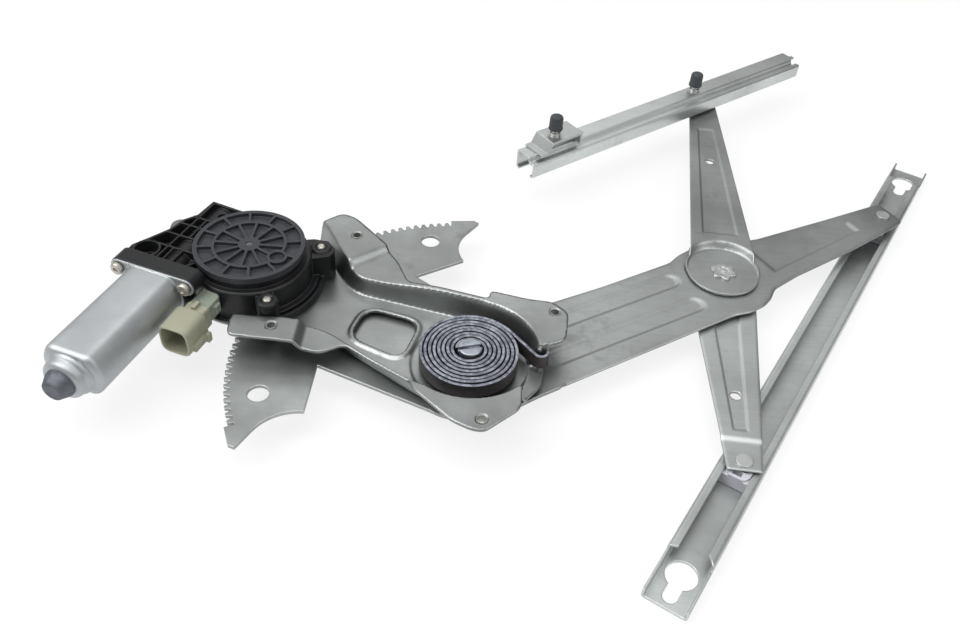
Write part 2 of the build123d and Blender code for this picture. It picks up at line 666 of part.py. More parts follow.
def guide_rail():
    """Rolled rail, open downwards between its lips, with a raised web and a front shoulder."""
    half = RAIL_W / 2
    points = [(-half, 0), (-half, 13.0), (-half + 5.5, 13.0), (-half + 7.0, RAIL_H), (half, RAIL_H), (half, 0)]
    section = outline(points, 1.8)
    section = section - offset(section, -RAIL_T) - Rectangle(RAIL_SLOT, 2 * RAIL_T + 1)
    body = extrude(Plane.YZ * (Pos(0, RAIL_Z) * section), RAIL_END - RAIL_START)
    body = Pos(RAIL_START, 0, 0) * body
    body -= Pos(RAIL_END - 3, -half + 6.5, RAIL_Z + RAIL_H - 2) * Box(6.5, 4.0, 8.0)
    body -= Pos(RAIL_END - 1, half - 4, RAIL_Z + RAIL_H) * Box(3.0, 12.0, 6.0)
    body -= disc(RIVET_R, RAIL_Z + RAIL_H - RAIL_T, RAIL_Z + RAIL_H, (STUD_TWO, STUD_LINE))
    return RAIL_FRAME * body


BRACKET_H = 10.5
BRACKET_SHIFT = 0.5
CAP_ROUND = 1.2
BRACKET_T = 1.8
BRACKET_W = 22.0


def stud_bracket():
    """Bent strap on the rail's web: a flat foot, a sloped leg with two ribs, a top and a fold down."""
    web = RAIL_Z + RAIL_H
    top = web + BRACKET_H
    left = STUD_ONE - 22
    path = [(left, web + BRACKET_T), (left + 6, web + BRACKET_T), (left + 11, top), (left + 44, top),
            (left + 44, web)]
    body = extrude(Plane.XZ * sheet_profile(path, BRACKET_T), BRACKET_W / 2, both=True)
    for side in (-1, 1):
        rib = [(left + 5, web), (left + 14, web), (left + 14, top - 1), (left + 11, top - 1)]
        wedge = extrude(Plane.XZ * outline(rib), 0.9, both=True)
        body += Pos(0, side * 5.0, 0) * wedge
    body -= disc(STUD_R, top - BRACKET_T, top, (STUD_ONE, 0))
    return RAIL_FRAME * (Pos(0, BRACKET_SHIFT, 0) * body)


def rail_studs():
    """Two studs: one on the bracket, one riveted in the rail's web."""
    web = RAIL_Z + RAIL_H
    top = web + BRACKET_H
    one = disc(STUD_R, top - BRACKET_T, top + 16, (STUD_ONE, BRACKET_SHIFT))
    one += disc(STUD_R + 1.6, top, top + 2.2, (STUD_ONE, BRACKET_SHIFT))
    two = disc(RIVET_R, web - RAIL_T, web, (STUD_TWO, STUD_LINE))
    two += disc(STUD_R, web, web + 16, (STUD_TWO, STUD_LINE))
    two += disc(STUD_R + 1.6, web, web + 2.2, (STUD_TWO, STUD_LINE))
    return [RAIL_FRAME * one, RAIL_FRAME * two]


def stud_cap(at, across, seat):
    """Soft cap pushed over a stud, with a rounded top and a small skirt."""
    low = seat + 4.0
    cap = disc(CAP_R, low, seat + 18.0, (at, across))
    cap = fillet(cap.faces().sort_by(Axis.Z)[-1].edges(), CAP_ROUND)
    cap += disc(CAP_R + 0.5, low, low + 1.5, (at, across))
    cap -= disc(STUD_R, low, seat + 16, (at, across))
    return RAIL_FRAME * cap


def ear_places():
    return [polar(EAR_REACH, angle) for angle in EAR_ANGLES]


CASE_SIDE = [(34.0, 28.0), (50.0, 26.0), (57.0, 14.0), (60.0, -10.0), (48.0, -26.0), (26.0, -50.0),
             (10.0, -52.0), (8.0, -30.0)]
BRACKET = [(-46.0, -26.0), (-46.0, 34.0), (-25.0, 32.5), (9.0, 15.0), (20.0, 11.0), (35.0, 9.0),
           (38.0, -20.0), (0.0, -22.0)]
TUBE_R = 11.5
TUBE_END = 36.0
WORM_ROOM_R = 8.5
WORM_ROOM_END = 22.0
FLANGE_T = 8.0
FLANGE_H = 36.0
FLANGE_SCREWS = (30.0, -27.0)
FLANGE_SCREW_Z = 11.0
VENT = (4.0, 17.0)


def gear_housing():
    """Moulded gearbox: wheel case with a side bulge, upper cup, worm tube, motor flange, screw ears
    and an open lattice of ribs between the flange and the cup."""
    case = disc(CASE_R, FLOOR_Z, CASE_TOP) + disc(CUP_R, CASE_TOP, COVER_TOP - COVER_T)
    case += slab(outline(CASE_SIDE, 5.0), FLOOR_Z, CASE_TOP - 3)
    for place in ear_places():
        case += disc(7.0, FLOOR_Z, CASE_TOP, place)
        case += slab(band((0, 0), place, 12.0), FLOOR_Z, CASE_TOP - 3)
    body = DRIVE_FRAME * case
    tube = shaft_piece(TUBE_R, CAN_FACE, TUBE_END)
    flange = Pos(CAN_FACE + FLANGE_T / 2, 1.5, 2.0) * Box(FLANGE_T, 70.0, FLANGE_H)
    flange = fillet(flange.edges().filter_by(Axis.X), 6.0)
    lattice = outline(BRACKET, 3.0)
    tray = slab(lattice, 0, 4) + slab(lattice - offset(lattice, -2.0), 0, 12)
    for across in (-6.0, 5.0, 16.0):
        tray += slab(band((-46, across), (40, across), 1.8) & lattice, 0, 12)
    for along in (-31.0, -19.0, -7.0, 5.0, 17.0, 29.0):
        tray += slab(band((along, -40), (along, 40), 1.8) & lattice, 0, 12)
    pocket = (-26.0, 19.0)
    tray -= Pos(0, -(WHEEL_R + WORM_PITCH_R), 0) * disc(CUP_R, 0, 12)
    tray += disc(9.5, 0, 12, pocket)
    tray -= disc(7.7, 4, 12, pocket)
    tray -= disc(4.0, 4, 12, VENT)
    body += MOTOR_FRAME * (tube + flange + tray)
    # hollows: upper cup, wheel room, worm room, bores
    wheel_room = disc(WHEEL_R + 2, FLOOR_Z + CASE_WALL, CASE_TOP - 1.5)
    wheel_room += disc(CUP_R - 3, CASE_TOP - 2, COVER_TOP - COVER_T)
    wheel_room += disc(PINION_R + PINION_ADDENDUM + 1.0, FLOOR_Z, FLOOR_Z + CASE_WALL)
    body -= DRIVE_FRAME * wheel_room
    body -= MOTOR_FRAME * shaft_piece(WORM_ROOM_R, CAN_FACE, WORM_ROOM_END)
    for across in FLANGE_SCREWS:
        hole = Pos(CAN_FACE + 4, across, FLANGE_SCREW_Z) * Rot(0, 90, 0) * Cylinder(SCREW_R, 20)
        body -= MOTOR_FRAME * hole
    for place in ear_places():
        body -= DRIVE_FRAME * disc(SCREW_R, FLOOR_Z, CASE_TOP, place)
        body -= DRIVE_FRAME * disc(SCREW_HEAD_R + 0.6, CASE_TOP, COVER_TOP, place)
    body -= DRIVE_FRAME * disc(COVER_R + GAP, COVER_TOP - COVER_T, COVER_TOP + 2)
    return body


def housing_screws():
    screws = []
    for place in ear_places():
        body = disc(SCREW_R, BASE_Z, CASE_TOP, place) + disc(SCREW_HEAD_R, CASE_TOP, CASE_TOP + 2.5, place)
        screws.append(DRIVE_FRAME * (body - disc(1.4, CASE_TOP + 1, CASE_TOP + 2.5, place)))
    return Part() + screws


def gear_cover():
    """Round cover: thin plate, rim, inner ring, hub, twelve spokes in two rows and a small boss."""
    low = COVER_TOP - COVER_T
    plate = disc(COVER_R, low, low + 1.8)
    plate += ring(COVER_R, COVER_R - 3.0, low, COVER_TOP)
    plate += ring(26.0, 24.0, low, COVER_TOP)
    plate += disc(7.5, low, COVER_TOP)
    spokes = Sketch()
    for index in range(12):
        spokes += band(polar(6.0, 30 * index), polar(25.0, 30 * index), 1.7)
        spokes += band(polar(25.0, 30 * index + 12), polar(COVER_R - 2, 30 * index + 12), 1.7)
    plate += slab(spokes, low, COVER_TOP)
    boss = polar(25.0, -28.0)
    plate += disc(7.0, low, COVER_TOP, boss)
    plate -= disc(5.2, low + 1.8, COVER_TOP, boss)
    plate -= disc(AXLE_R, low, COVER_TOP)
    return DRIVE_FRAME * plate


AXLE_R = 2.6
AXLE_LOW = -SECTOR_T - 2.0


def gear_axle():
    """Fixed steel axle of the worm wheel and the pinion, held in the cover."""
    return DRIVE_FRAME * disc(AXLE_R, AXLE_LOW, COVER_TOP - 0.6)


WHEEL_LOW = MOTOR_Z - WHEEL_WIDTH / 2


def worm_wheel():
    """Worm wheel with short teeth, a deep web and a hub that runs on the axle."""
    tip = WHEEL_R + 0.8
    root = WHEEL_R - 1.2
    points = []
    for index in range(WHEEL_TEETH):
        points += tooth((root, tip), WHEEL_R, 1.3, 360 / WHEEL_TEETH * index)
    wheel = slab(outline(points), WHEEL_LOW, WHEEL_LOW + WHEEL_WIDTH)
    wheel -= disc(WHEEL_R - 6, WHEEL_LOW + 4, WHEEL_LOW + WHEEL_WIDTH) - disc(9.0, WHEEL_LOW, WHEEL_LOW + WHEEL_WIDTH)
    wheel -= disc(AXLE_R + FIT, WHEEL_LOW, WHEEL_LOW + WHEEL_WIDTH)
    return DRIVE_FRAME * wheel


def wheel_damper():
    """Rubber ring with six lobes that carries the torque from the wheel to the pinion's driver."""
    low = WHEEL_LOW + 4
    body = ring(WHEEL_R - 7, 12.0, low, low + 6)
    for index in range(6):
        body -= slab(band(polar(14, 60 * index), polar(24, 60 * index), 4.0), low, low + 6)
    return DRIVE_FRAME * body


def pinion():
    """Steel pinion that meshes with the sector, its neck driven by the wheel."""
    tip = PINION_R + PINION_ADDENDUM
    root = PINION_R - PINION_DEDENDUM
    base = PINION_R * math.cos(math.radians(PRESSURE_ANGLE))
    points = []
    for index in range(PINION_TEETH):
        middle = DRIVE_ANGLE + 180 + 360 / PINION_TEETH * index
        points += tooth((root, base, PINION_R, tip - 0.8, tip), PINION_R, PINION_TOOTH, middle)
    body = slab(outline(points), -SECTOR_T - 1.0, BASE_GAP + 0.5)
    body += disc(10.0, BASE_GAP + 0.5, WHEEL_LOW)
    body -= disc(AXLE_R + FIT, -SECTOR_T - 1.0, WHEEL_LOW)
    return DRIVE_FRAME * body


def shaft_piece(radius, start, end):
    return Pos((start + end) / 2, 0, 0) * Rot(0, 90, 0) * Cylinder(radius, end - start)


CORE_START = -128.0
CORE_END = -84.0
WORM_REACH = 12.0


def armature_shaft():
    """Steel shaft from the can's nose bush to the end of the worm tube, with the worm's body."""
    body = shaft_piece(SHAFT_R, CAN_END - 8, WORM_ROOM_END - 1)
    body += shaft_piece(WORM_PITCH_R - 1.4, -WORM_REACH, WORM_REACH)
    return MOTOR_FRAME * body


def armature_core():
    """Laminated core with eight slots."""
    core = shaft_piece(14.0, CORE_START, CORE_END) - shaft_piece(SHAFT_R, CORE_START, CORE_END)
    for index in range(8):
        turn = 45 * index
        slot = Pos((CORE_START + CORE_END) / 2, 0, 0) * Rot(turn, 0, 0) * Pos(0, 0, 11.0)
        core -= slot * Box(CORE_END - CORE_START, 2.4, 9.0)
    return MOTOR_FRAME * core


def commutator():
    return MOTOR_FRAME * (shaft_piece(7.0, -74.0, -58.0) - shaft_piece(SHAFT_R, -74.0, -58.0))


def can_section(grow):
    return Circle(CAN_R + grow) & Rectangle(2 * CAN_R + 4, 2 * (CAN_FLAT + grow))


def motor_can():
    """Deep-drawn can: round with two flats, domed end, stepped boss and nose, flange with two ears."""
    length = CAN_FACE - CAN_END
    body = Pos(CAN_END, 0, 0) * extrude(Plane.YZ * can_section(0), length)
    body = fillet(body.faces().sort_by(Axis.X)[0].edges(), 4.0)
    body += shaft_piece(15.5, CAN_END - 5.5, CAN_END + 6)
    body += shaft_piece(10.0, CAN_END - 11, CAN_END)
    nose = Pos(CAN_END - 11, 0, 0) * extrude(Plane.YZ * Circle(8.6), -4.0, taper=20)
    body += nose
    flange = RectangleRounded(70.0, FLANGE_H, 6.0)
    body += Pos(CAN_FACE - 1.8, 0, 0) * extrude(Plane.YZ * (Pos(1.5, 2.0) * flange), 1.8)
    hollow = Pos(CAN_END + CAN_WALL, 0, 0) * extrude(Plane.YZ * can_section(-CAN_WALL), length)
    body -= hollow
    body -= shaft_piece(6.5, CAN_END - 10, CAN_END + 2)
    for across in FLANGE_SCREWS:
        body -= Pos(CAN_FACE, across, FLANGE_SCREW_Z) * Rot(0, 90, 0) * Cylinder(SCREW_R, 10)
    return MOTOR_FRAME * body


def motor_magnets():
    shell = shaft_piece(CAN_R - CAN_WALL, CORE_START - 2, CORE_END + 2) - shaft_piece(15.0, CORE_START - 2, CORE_END + 2)
    sides = []
    for side in (-1, 1):
        box = Pos((CORE_START + CORE_END) / 2, side * 20.0, 0) * Box(80, 20, 2 * CAN_FLAT - 2 * CAN_WALL - 6)
        sides.append(shell & box)
    return MOTOR_FRAME * (Part() + sides)


def nose_bush():
    body = shaft_piece(6.5, CAN_END - 9, CAN_END - 2) - shaft_piece(SHAFT_R + FIT, CAN_END - 9, CAN_END - 2)
    return MOTOR_FRAME * body


def worm_bush():
    """Bush at the motor end of the worm tube."""
    body = shaft_piece(WORM_ROOM_R, -44.0, -36.0) - shaft_piece(SHAFT_R + FIT, -44.0, -36.0)
    return MOTOR_FRAME * body


def tip_bush():
    """Bush at the far end of the worm tube, clear of the wheel's teeth."""
    end = WORM_ROOM_END
    start = end - 5
    body = shaft_piece(WORM_ROOM_R, start, end) - shaft_piece(SHAFT_R + FIT, start, end)
    return MOTOR_FRAME * body


def brush_holder():
    """Plate across the mouth of the can, with a bore for the shaft and two brush slots."""
    plate = Pos(-66.0, 0, 0) * extrude(Plane.YZ * can_section(-CAN_WALL), 12.0)
    plate -= shaft_piece(9.0, -66.0, -54.0)
    plate -= Pos(-63.0, 0, 0) * Box(6.0, 2 * CAN_R - 8, 5.0)
    return MOTOR_FRAME * plate


def motor_brushes():
    sides = []
    for side in (-1, 1):
        sides.append(Pos(-63.0, side * (7.0 + FIT + 4.0), 0) * Box(6.0, 8.0, 5.0))
    return MOTOR_FRAME * (Part() + sides)


def flange_screws():
    screws = []
    for across in FLANGE_SCREWS:
        at = Pos(0, across, FLANGE_SCREW_Z)
        screw = shaft_piece(SCREW_R, CAN_FACE - 1.8, CAN_FACE + FLANGE_T - 1)
        screw += shaft_piece(SCREW_HEAD_R, CAN_FACE - 5.0, CAN_FACE - 1.8)
        screw -= Pos(CAN_FACE - 5.0, 0, 0) * (Box(2.4, 6.0, 1.2) + Box(2.4, 1.2, 6.0))
        screws.append(at * screw)
    return MOTOR_FRAME * (Part() + screws)


def vent_cap():
    """Small grey breather cap on the side of the rib lattice."""
    cap = disc(6.5, 12, 15, VENT) + disc(4.0, 4, 12, VENT)
    return MOTOR_FRAME * cap


CONNECTOR_AT = -33.0
CONNECTOR_Z = -4.0
CONNECTOR_START = -92.0
CONNECTOR_END = -58.0
CONNECTOR_W = 21.0


def connector():
    """Socket housing: chamfered square sleeve, open towards the motor's nose."""
    section = chamfer(Rectangle(CONNECTOR_W, CONNECTOR_W).vertices(), 6.0)
    length = CONNECTOR_END - CONNECTOR_START
    body = Pos(CONNECTOR_START, CONNECTOR_AT, CONNECTOR_Z) * extrude(Plane.YZ * section, length)
    inner = chamfer(Rectangle(CONNECTOR_W - 4, CONNECTOR_W - 4).vertices(), 5.0)
    body -= Pos(CONNECTOR_START, CONNECTOR_AT, CONNECTOR_Z) * extrude(Plane.YZ * inner, length - 12)
    body += Pos(CONNECTOR_START + 8, CONNECTOR_AT - CONNECTOR_W / 2 - 0.6, CONNECTOR_Z) * Box(16, 1.6, 6.0)
    for across in (-4.0, 4.0):
        body -= Pos(CONNECTOR_END - 6, CONNECTOR_AT + across, CONNECTOR_Z) * Box(13.0, 0.8, 5.0)
    return MOTOR_FRAME * body


def connector_blades():
    blades = []
    for across in (-4.0, 4.0):
        blades.append(Pos(CONNECTOR_END - 10, CONNECTOR_AT + across, CONNECTOR_Z) * Box(20.0, 0.8, 5.0))
    return MOTOR_FRAME * (Part() + blades)


def connector_neck():
    """Grey neck that carries the socket on the housing flange."""
    start = CONNECTOR_END
    end = CAN_FACE + FLANGE_T
    body = Pos((start + end) / 2, CONNECTOR_AT + 2.0, -2) * Box(end - start, 14.0, 14.0)
    body -= Pos(CAN_FACE + FLANGE_T / 2, 1.5, 2.0) * Box(FLANGE_T + 3.6, 70.2, FLANGE_H + 0.2)
    return MOTOR_FRAME * body


def build():
    studs = rail_studs()
    web = RAIL_Z + RAIL_H
    return {
        "base_plate": base_plate(),
        "weld_nuts": weld_nuts(),
        "gear_housing": gear_housing(),
        "gear_cover": gear_cover(),
        "gear_axle": gear_axle(),
        "housing_screws": housing_screws(),
        "vent_cap": vent_cap(),
        "motor_can": motor_can(),
        "motor_magnets": motor_magnets(),
        "nose_bush": nose_bush(),
        "worm_bush": worm_bush(),
        "tip_bush": tip_bush(),
        "brush_holder": brush_holder(),
        "motor_brushes": motor_brushes(),
        "flange_screws": flange_screws(),
        "connector": connector(),
        "connector_blades": connector_blades(),
        "connector_neck": connector_neck(),
        "sector_plate": sector_plate(),
        "main_arm": main_arm(),
        "sector_rivets": sector_rivets(),
        "pivot_arbor": pivot_arbor(),
        "pivot_washer": pivot_washer(),
        "balance_spring": balance_spring(),
        "arm_channel_pin": arm_pin(),
        "worm_wheel": worm_wheel(),
        "wheel_damper": wheel_damper(),
        "pinion": pinion(),
        "armature_shaft": armature_shaft(),
        "armature_core": armature_core(),
        "commutator": commutator(),
        "equaliser_upper_arm": upper_arm(),
        "equaliser_lower_arm": lower_arm(),
        "crossing_spacers": crossing_spacers(),
        "crossing_rivet": crossing_rivet(),
        "equaliser_channel_pin": equaliser_channel_pin(),
        "equaliser_rail_pin": equaliser_rail_pin(),
        "arm_channel_shoe": channel_shoe(CHANNEL_SPAN),
        "arm_shoe_clip": channel_shoe_clip(CHANNEL_SPAN),
        "equaliser_channel_shoe": channel_shoe(0),
        "equaliser_shoe_clip": channel_shoe_clip(0),
        "glass_channel": glass_channel(),
        "rail_shoe": rail_shoe(),
        "guide_rail": guide_rail(),
        "stud_bracket": stud_bracket(),
        "bracket_stud": studs[0],
        "rail_stud": studs[1],
        "bracket_stud_cap": stud_cap(STUD_ONE, BRACKET_SHIFT, web + BRACKET_H),
        "rail_stud_cap": stud_cap(STUD_TWO, STUD_LINE, web),
    }


parts = build()
box = Compound(children=[shape.moved(Location()) for shape in parts.values()]).bounding_box()
SHIFT = (-(box.min.X + box.max.X) / 2, -(box.min.Y + box.max.Y) / 2, -box.min.Z)

os.makedirs("parts", exist_ok=True)
for name, shape in parts.items():
    export_step(Pos(*SHIFT) * shape, f"parts/{name}.step")
print("shift", [round(value, 3) for value in SHIFT], "size", box.size)
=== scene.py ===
# %% [markdown]
# # A window regulator on the studio floor
# The regulator lifts a car's side window. A motor turns a toothed sector, the sector swings a long arm,
# and a second arm crosses it like one blade of a pair of scissors. This notebook takes the engineer's
# solids as they are, gives each sheet, moulding and spring its own finish, and adds the few surfaces
# that a solid modeller draws too plainly.

# %% Load the solids
import json
import math
import bpy
import numpy as np
from mathutils import Matrix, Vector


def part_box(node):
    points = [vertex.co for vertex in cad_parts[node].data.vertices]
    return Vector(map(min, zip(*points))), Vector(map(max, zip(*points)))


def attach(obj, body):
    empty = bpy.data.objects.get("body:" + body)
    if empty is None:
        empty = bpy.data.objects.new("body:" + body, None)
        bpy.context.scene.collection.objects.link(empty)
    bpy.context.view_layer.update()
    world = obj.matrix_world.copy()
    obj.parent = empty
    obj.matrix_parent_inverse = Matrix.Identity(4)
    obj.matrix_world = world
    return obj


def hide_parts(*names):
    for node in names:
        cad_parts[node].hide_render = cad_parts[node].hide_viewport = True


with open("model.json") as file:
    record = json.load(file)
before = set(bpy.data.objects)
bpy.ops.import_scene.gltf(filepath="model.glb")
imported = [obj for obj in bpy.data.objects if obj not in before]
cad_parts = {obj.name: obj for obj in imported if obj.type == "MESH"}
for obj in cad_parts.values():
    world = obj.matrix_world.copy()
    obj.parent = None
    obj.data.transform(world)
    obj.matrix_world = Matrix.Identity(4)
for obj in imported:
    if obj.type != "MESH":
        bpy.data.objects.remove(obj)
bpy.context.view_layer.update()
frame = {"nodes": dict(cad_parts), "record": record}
solids = frame["nodes"]

# %% [markdown]
# ## Where things are
# Every solid keeps its place in its mesh, so a box round one tells where it is. The pivot of the lifting
# arm is the natural centre for everything else: the camera and the pieces made here are placed from it,
# so they follow if the solids move.

# %% The pivot
def middle(name):
    """The centre of a solid's box."""
    low, high = (np.array(corner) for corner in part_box(name))
    return (low + high) / 2


PIVOT = middle("pivot_arbor")
PIVOT[2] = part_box("sector_plate")[1][2]
print("pivot", PIVOT.round(4))

# %% [markdown]
# ## The camera
# The photograph looks down at the flat-lying regulator, with the motor on the left. A camera in Blender
# looks along its own -Z with +Y up, so its three axes are written as the columns of a matrix.
# The picture is tipped a few degrees. Place, angles and focal length were fitted to points that are easy
# to name on the object: the pivot, the crossing, the holes and the ends of the rails.

# %% Set the camera
def placed(right, above, back, at):
    """The matrix of an object whose three axes and place are given."""
    matrix = np.eye(4)
    matrix[:3] = np.column_stack((right, above, back, at))
    return Matrix(matrix.tolist())


LOOK_DOWN = math.radians(42.609)
TIP = math.radians(4.419)
EYE = PIVOT + np.array((5.0136, -444.0148, 452.885)) / 1000
FOCAL_PIXELS = 937.7
PHOTO_WIDTH = 960
forward = np.array((0, math.cos(LOOK_DOWN), -math.sin(LOOK_DOWN)))
level = np.array((1.0, 0, 0))
upright = np.array((0, math.sin(LOOK_DOWN), math.cos(LOOK_DOWN)))
right = math.cos(TIP) * level + math.sin(TIP) * upright
above = math.cos(TIP) * upright - math.sin(TIP) * level
lens = bpy.data.cameras.new("studio_camera")
lens.sensor_width = 36.0
lens.lens = FOCAL_PIXELS * lens.sensor_width / PHOTO_WIDTH
lens.clip_start = 0.01
camera = bpy.data.objects.new("studio_camera", lens)
camera.matrix_world = placed(right, above, -forward, EYE)
bpy.context.scene.collection.objects.link(camera)
bpy.context.scene.camera = camera
bpy.context.scene.view_settings.view_transform = "Standard"
print("camera at", EYE.round(3), "lens", round(lens.lens, 2))

# %% [markdown]
# ## Shader maths that reads like maths
# A finish is a small formula: a base tone, plus some cloudiness, minus some dirt. Blender keeps formulas
# as nodes, which are slow to wire by hand. The class below wraps one output of a node, so that
# `0.4 + 0.2 * cloud` builds the Math nodes by itself.

# %% A wire that can be added and multiplied
class Wire:
    """One output of a node. A sum or product written with it becomes a Math node."""

    def __init__(self, finish, socket):
        self.finish = finish
        self.socket = socket

    def sum_up(self, operation, *values):
        """The result of one Math node."""
        return self.finish.node("ShaderNodeMath", {"operation": operation}, *values)

    def __add__(self, other):
        return self.sum_up("ADD", self, other)

    def __sub__(self, other):
        return self.sum_up("SUBTRACT", self, other)

    def __rsub__(self, other):
        return self.sum_up("SUBTRACT", other, self)

    def __mul__(self, other):
        return self.sum_up("MULTIPLY", self, other)

    __radd__ = __add__
    __rmul__ = __mul__

    def clipped(self):
        """The value, cut off below 0 and above 1."""
        return self.finish.node("ShaderNodeClamp", {}, self)


print("wires ready")

# %% [markdown]
# ## A finish and its nodes
# A second class holds the node tree of one finish. Its method `node` makes any node from its kind, its
# settings and what goes into its inputs, so that the finishes below stay a few lines each. Every pattern
# on a piece reads the Object coordinates, which stick to it wherever it moves.

# %% A finish
OBJECT_PLACE = 3  # the place of this output on the Texture Coordinate node


class Finish:
    """The node tree of one material or of the world, with one method that makes every node."""

    def __init__(self, name, tree=None):
        if tree:
            self.tree = tree
            tree.nodes.clear()
            return
        self.material = bpy.data.materials.new(name)
        self.material.use_nodes = True
        self.tree = self.material.node_tree
        self.shader = next(n for n in self.tree.nodes if n.type == "BSDF_PRINCIPLED")
        self.place = self.node("ShaderNodeTexCoord", out=OBJECT_PLACE)

    def node(self, kind, settings=None, *values, out=0, **named):
        """A node with its settings first, then its inputs by place or by name, and one of its outputs."""
        made = self.tree.nodes.new(kind)
        for key, value in (settings or {}).items():
            if key == "stops":
                ramp = made.color_ramp.elements
                while len(ramp) < len(value):
                    ramp.new(0.5)
                for stop, (at, tone) in zip(ramp, value):
                    stop.position = at
                    stop.color = (*tone, 1) if isinstance(tone, tuple) else (tone, tone, tone, 1)
            else:
                setattr(made, key, value)
        for index, value in enumerate(values):
            self.feed(made.inputs[index], value)
        for key, value in named.items():
            self.feed(made.inputs[key.replace("_", " ")], value)
        return Wire(self, made.outputs[out]) if made.outputs else made

    def feed(self, socket, value):
        """A link from a wire, or a plain value, into a socket."""
        if isinstance(value, Wire):
            self.tree.links.new(value.socket, socket)
        elif value is not None:
            socket.default_value = value

    def mix(self, factor, first, second):
        """A colour between two colours."""
        made = self.tree.nodes.new("ShaderNodeMix")
        made.data_type = "RGBA"
        for index, value in ((0, factor), (6, first), (7, second)):
            if isinstance(value, tuple):
                value = (*value, 1)
            self.feed(made.inputs[index], value)
        return Wire(self, made.outputs[2])

    def stretched(self, scale, turn=0.0):
        """The place on the piece, turned about Z and scaled along each axis."""
        return self.node("ShaderNodeMapping", {}, self.place, Rotation=(0, 0, -turn), Scale=scale)

    def noise(self, scale, detail, where=None, rough=0.5):
        """A cloud pattern between 0 and 1, with so many waves to the metre."""
        return self.node("ShaderNodeTexNoise", {}, Vector=where or self.place, Scale=scale, Detail=detail,
                         Roughness=rough)

    def band(self, wire, low, high):
        """0 below low, 1 above high, smooth between."""
        return self.node("ShaderNodeMapRange", {"interpolation_type": "SMOOTHSTEP"}, Value=wire,
                         From_Min=low, From_Max=high)

    def bump(self, height, distance, strength, over):
        """A height as a Normal, laid over another normal."""
        return self.node("ShaderNodeBump", {}, Strength=strength, Distance=distance, Height=height,
                         Normal=over)

    def set(self, **named):
        """Values or wires for the shader's own sockets, by their names."""
        for key, value in named.items():
            if isinstance(value, tuple):
                value = (*value, 1)
            self.feed(self.shader.inputs[key.replace("_", " ")], value)


print("finishes can be written")

# %% [markdown]
# ## Zinc-plated sheet
# Most of the regulator is pressed from sheet and zinc plated. Real plating is never one grey: it has broad
# clouds, the long grain of the rolling mill and small dark specks of oil. Its edges are painted pale, partly
# as wear where the sheet was cut or bent and partly as a painted highlight. The Bevel node finds the edges:
# it looks round each point, and where its smoothed normal leaves the true one, an edge is near.

# %% The sheet finish
NORMAL = 1  # the place of this output on the Geometry node


def edge_wear_and_highlight(finish, radius):
    """The rounded normal, and a mask that is 1 along sharp edges and 0 on the flat, taken from how far
    the rounded normal leaves the true one."""
    rounded = finish.node("ShaderNodeBevel", {"samples": 6}, Radius=radius)
    true = finish.node("ShaderNodeNewGeometry", out=NORMAL)
    agree = finish.node("ShaderNodeVectorMath", {"operation": "DOT_PRODUCT"}, rounded, true, out=1)
    return rounded, finish.band(1 - agree, 0.02, 0.22)


def shaded(tone, factor):
    """A tone with each of its three colours times a factor, at most 1."""
    return tuple(min(1.0, factor * c) for c in tone)


def zinc_sheet(name, pale, dark, roughness, grain, dirt):
    """Clouded zinc: a slow noise picks between two tones, a stretched noise is the rolling grain."""
    finish = Finish(name)
    cloud = finish.noise(7.0, 5.0, rough=0.6)
    patch = finish.noise(31.0, 6.0, rough=0.65)
    rolled = finish.noise(1.0, 4.0, where=finish.stretched((9.0, 420.0, 420.0), grain), rough=0.7)
    speck = finish.band(finish.noise(210.0, 2.0), 0.66, 0.74)
    stain = finish.band(patch, 0.56, 0.72) * dirt
    rounded, edge = edge_wear_and_highlight(finish, 0.0011)
    tone = finish.mix(finish.band(cloud, 0.32, 0.68), dark, pale)
    tone = finish.mix((rolled - 0.35) * 0.8, tone, shaded(pale, 0.62))
    tone = finish.mix(stain * 0.45, tone, shaded(dark, 0.45))
    tone = finish.mix(speck * 0.12, tone, (0.10, 0.10, 0.09))
    # Edges painted pale: partly wear of the cut and bent sheet, partly a painted highlight.
    tone = finish.mix(edge * 0.6, tone, (0.74, 0.76, 0.75))
    dent = finish.noise(16.0, 2.0)
    finish.set(Base_Color=tone, Metallic=1.0,
               Roughness=(roughness + 0.16 * cloud + 0.12 * stain - 0.08 * edge + 0.08 * rolled).clipped(),
               Normal=finish.bump(dent + 0.06 * patch + 0.015 * rolled, 0.0016, 0.35, rounded))
    return finish.material


COOL = (0.955, 1.0, 0.985)
# slot, pale tone, dark tone, roughness, direction of the grain in radians, dirt
SHEETS = (("base_sheet", 0.50, 0.24, 0.27, 0.5, 0.7), ("sector_sheet", 0.51, 0.27, 0.33, 0.7, 0.7),
          ("arm_sheet", 0.46, 0.25, 0.30, 0.575, 0.6), ("upper_arm_sheet", 0.44, 0.27, 0.33, 1.52, 0.6),
          ("lower_arm_sheet", 0.60, 0.44, 0.33, 1.52, 0.4), ("channel_sheet", 0.68, 0.44, 0.32, 1.047, 0.7),
          ("rail_sheet", 0.72, 0.48, 0.26, 0.691, 0.5), ("bracket_sheet", 0.58, 0.38, 0.28, 0.691, 0.5))
FINISHES = {}
for slot, pale, dark, *surface in SHEETS:
    name = slot.replace("sheet", "zinc")
    FINISHES[slot] = zinc_sheet(name, shaded(COOL, pale), shaded(COOL, dark), *surface)
print(len(FINISHES), "sheet finishes")

# %% [markdown]
# ## The motor can's steel
# The can is drawn deep from one disc, which leaves long soft streaks from its mouth to its nose. It has a
# satin skin, and its plating is more even than that of the sheets. So its two tones lie close together,
# and the stretched noise runs along the motor's axis.

# %% The can finish
MOTOR_TURN = 72.0


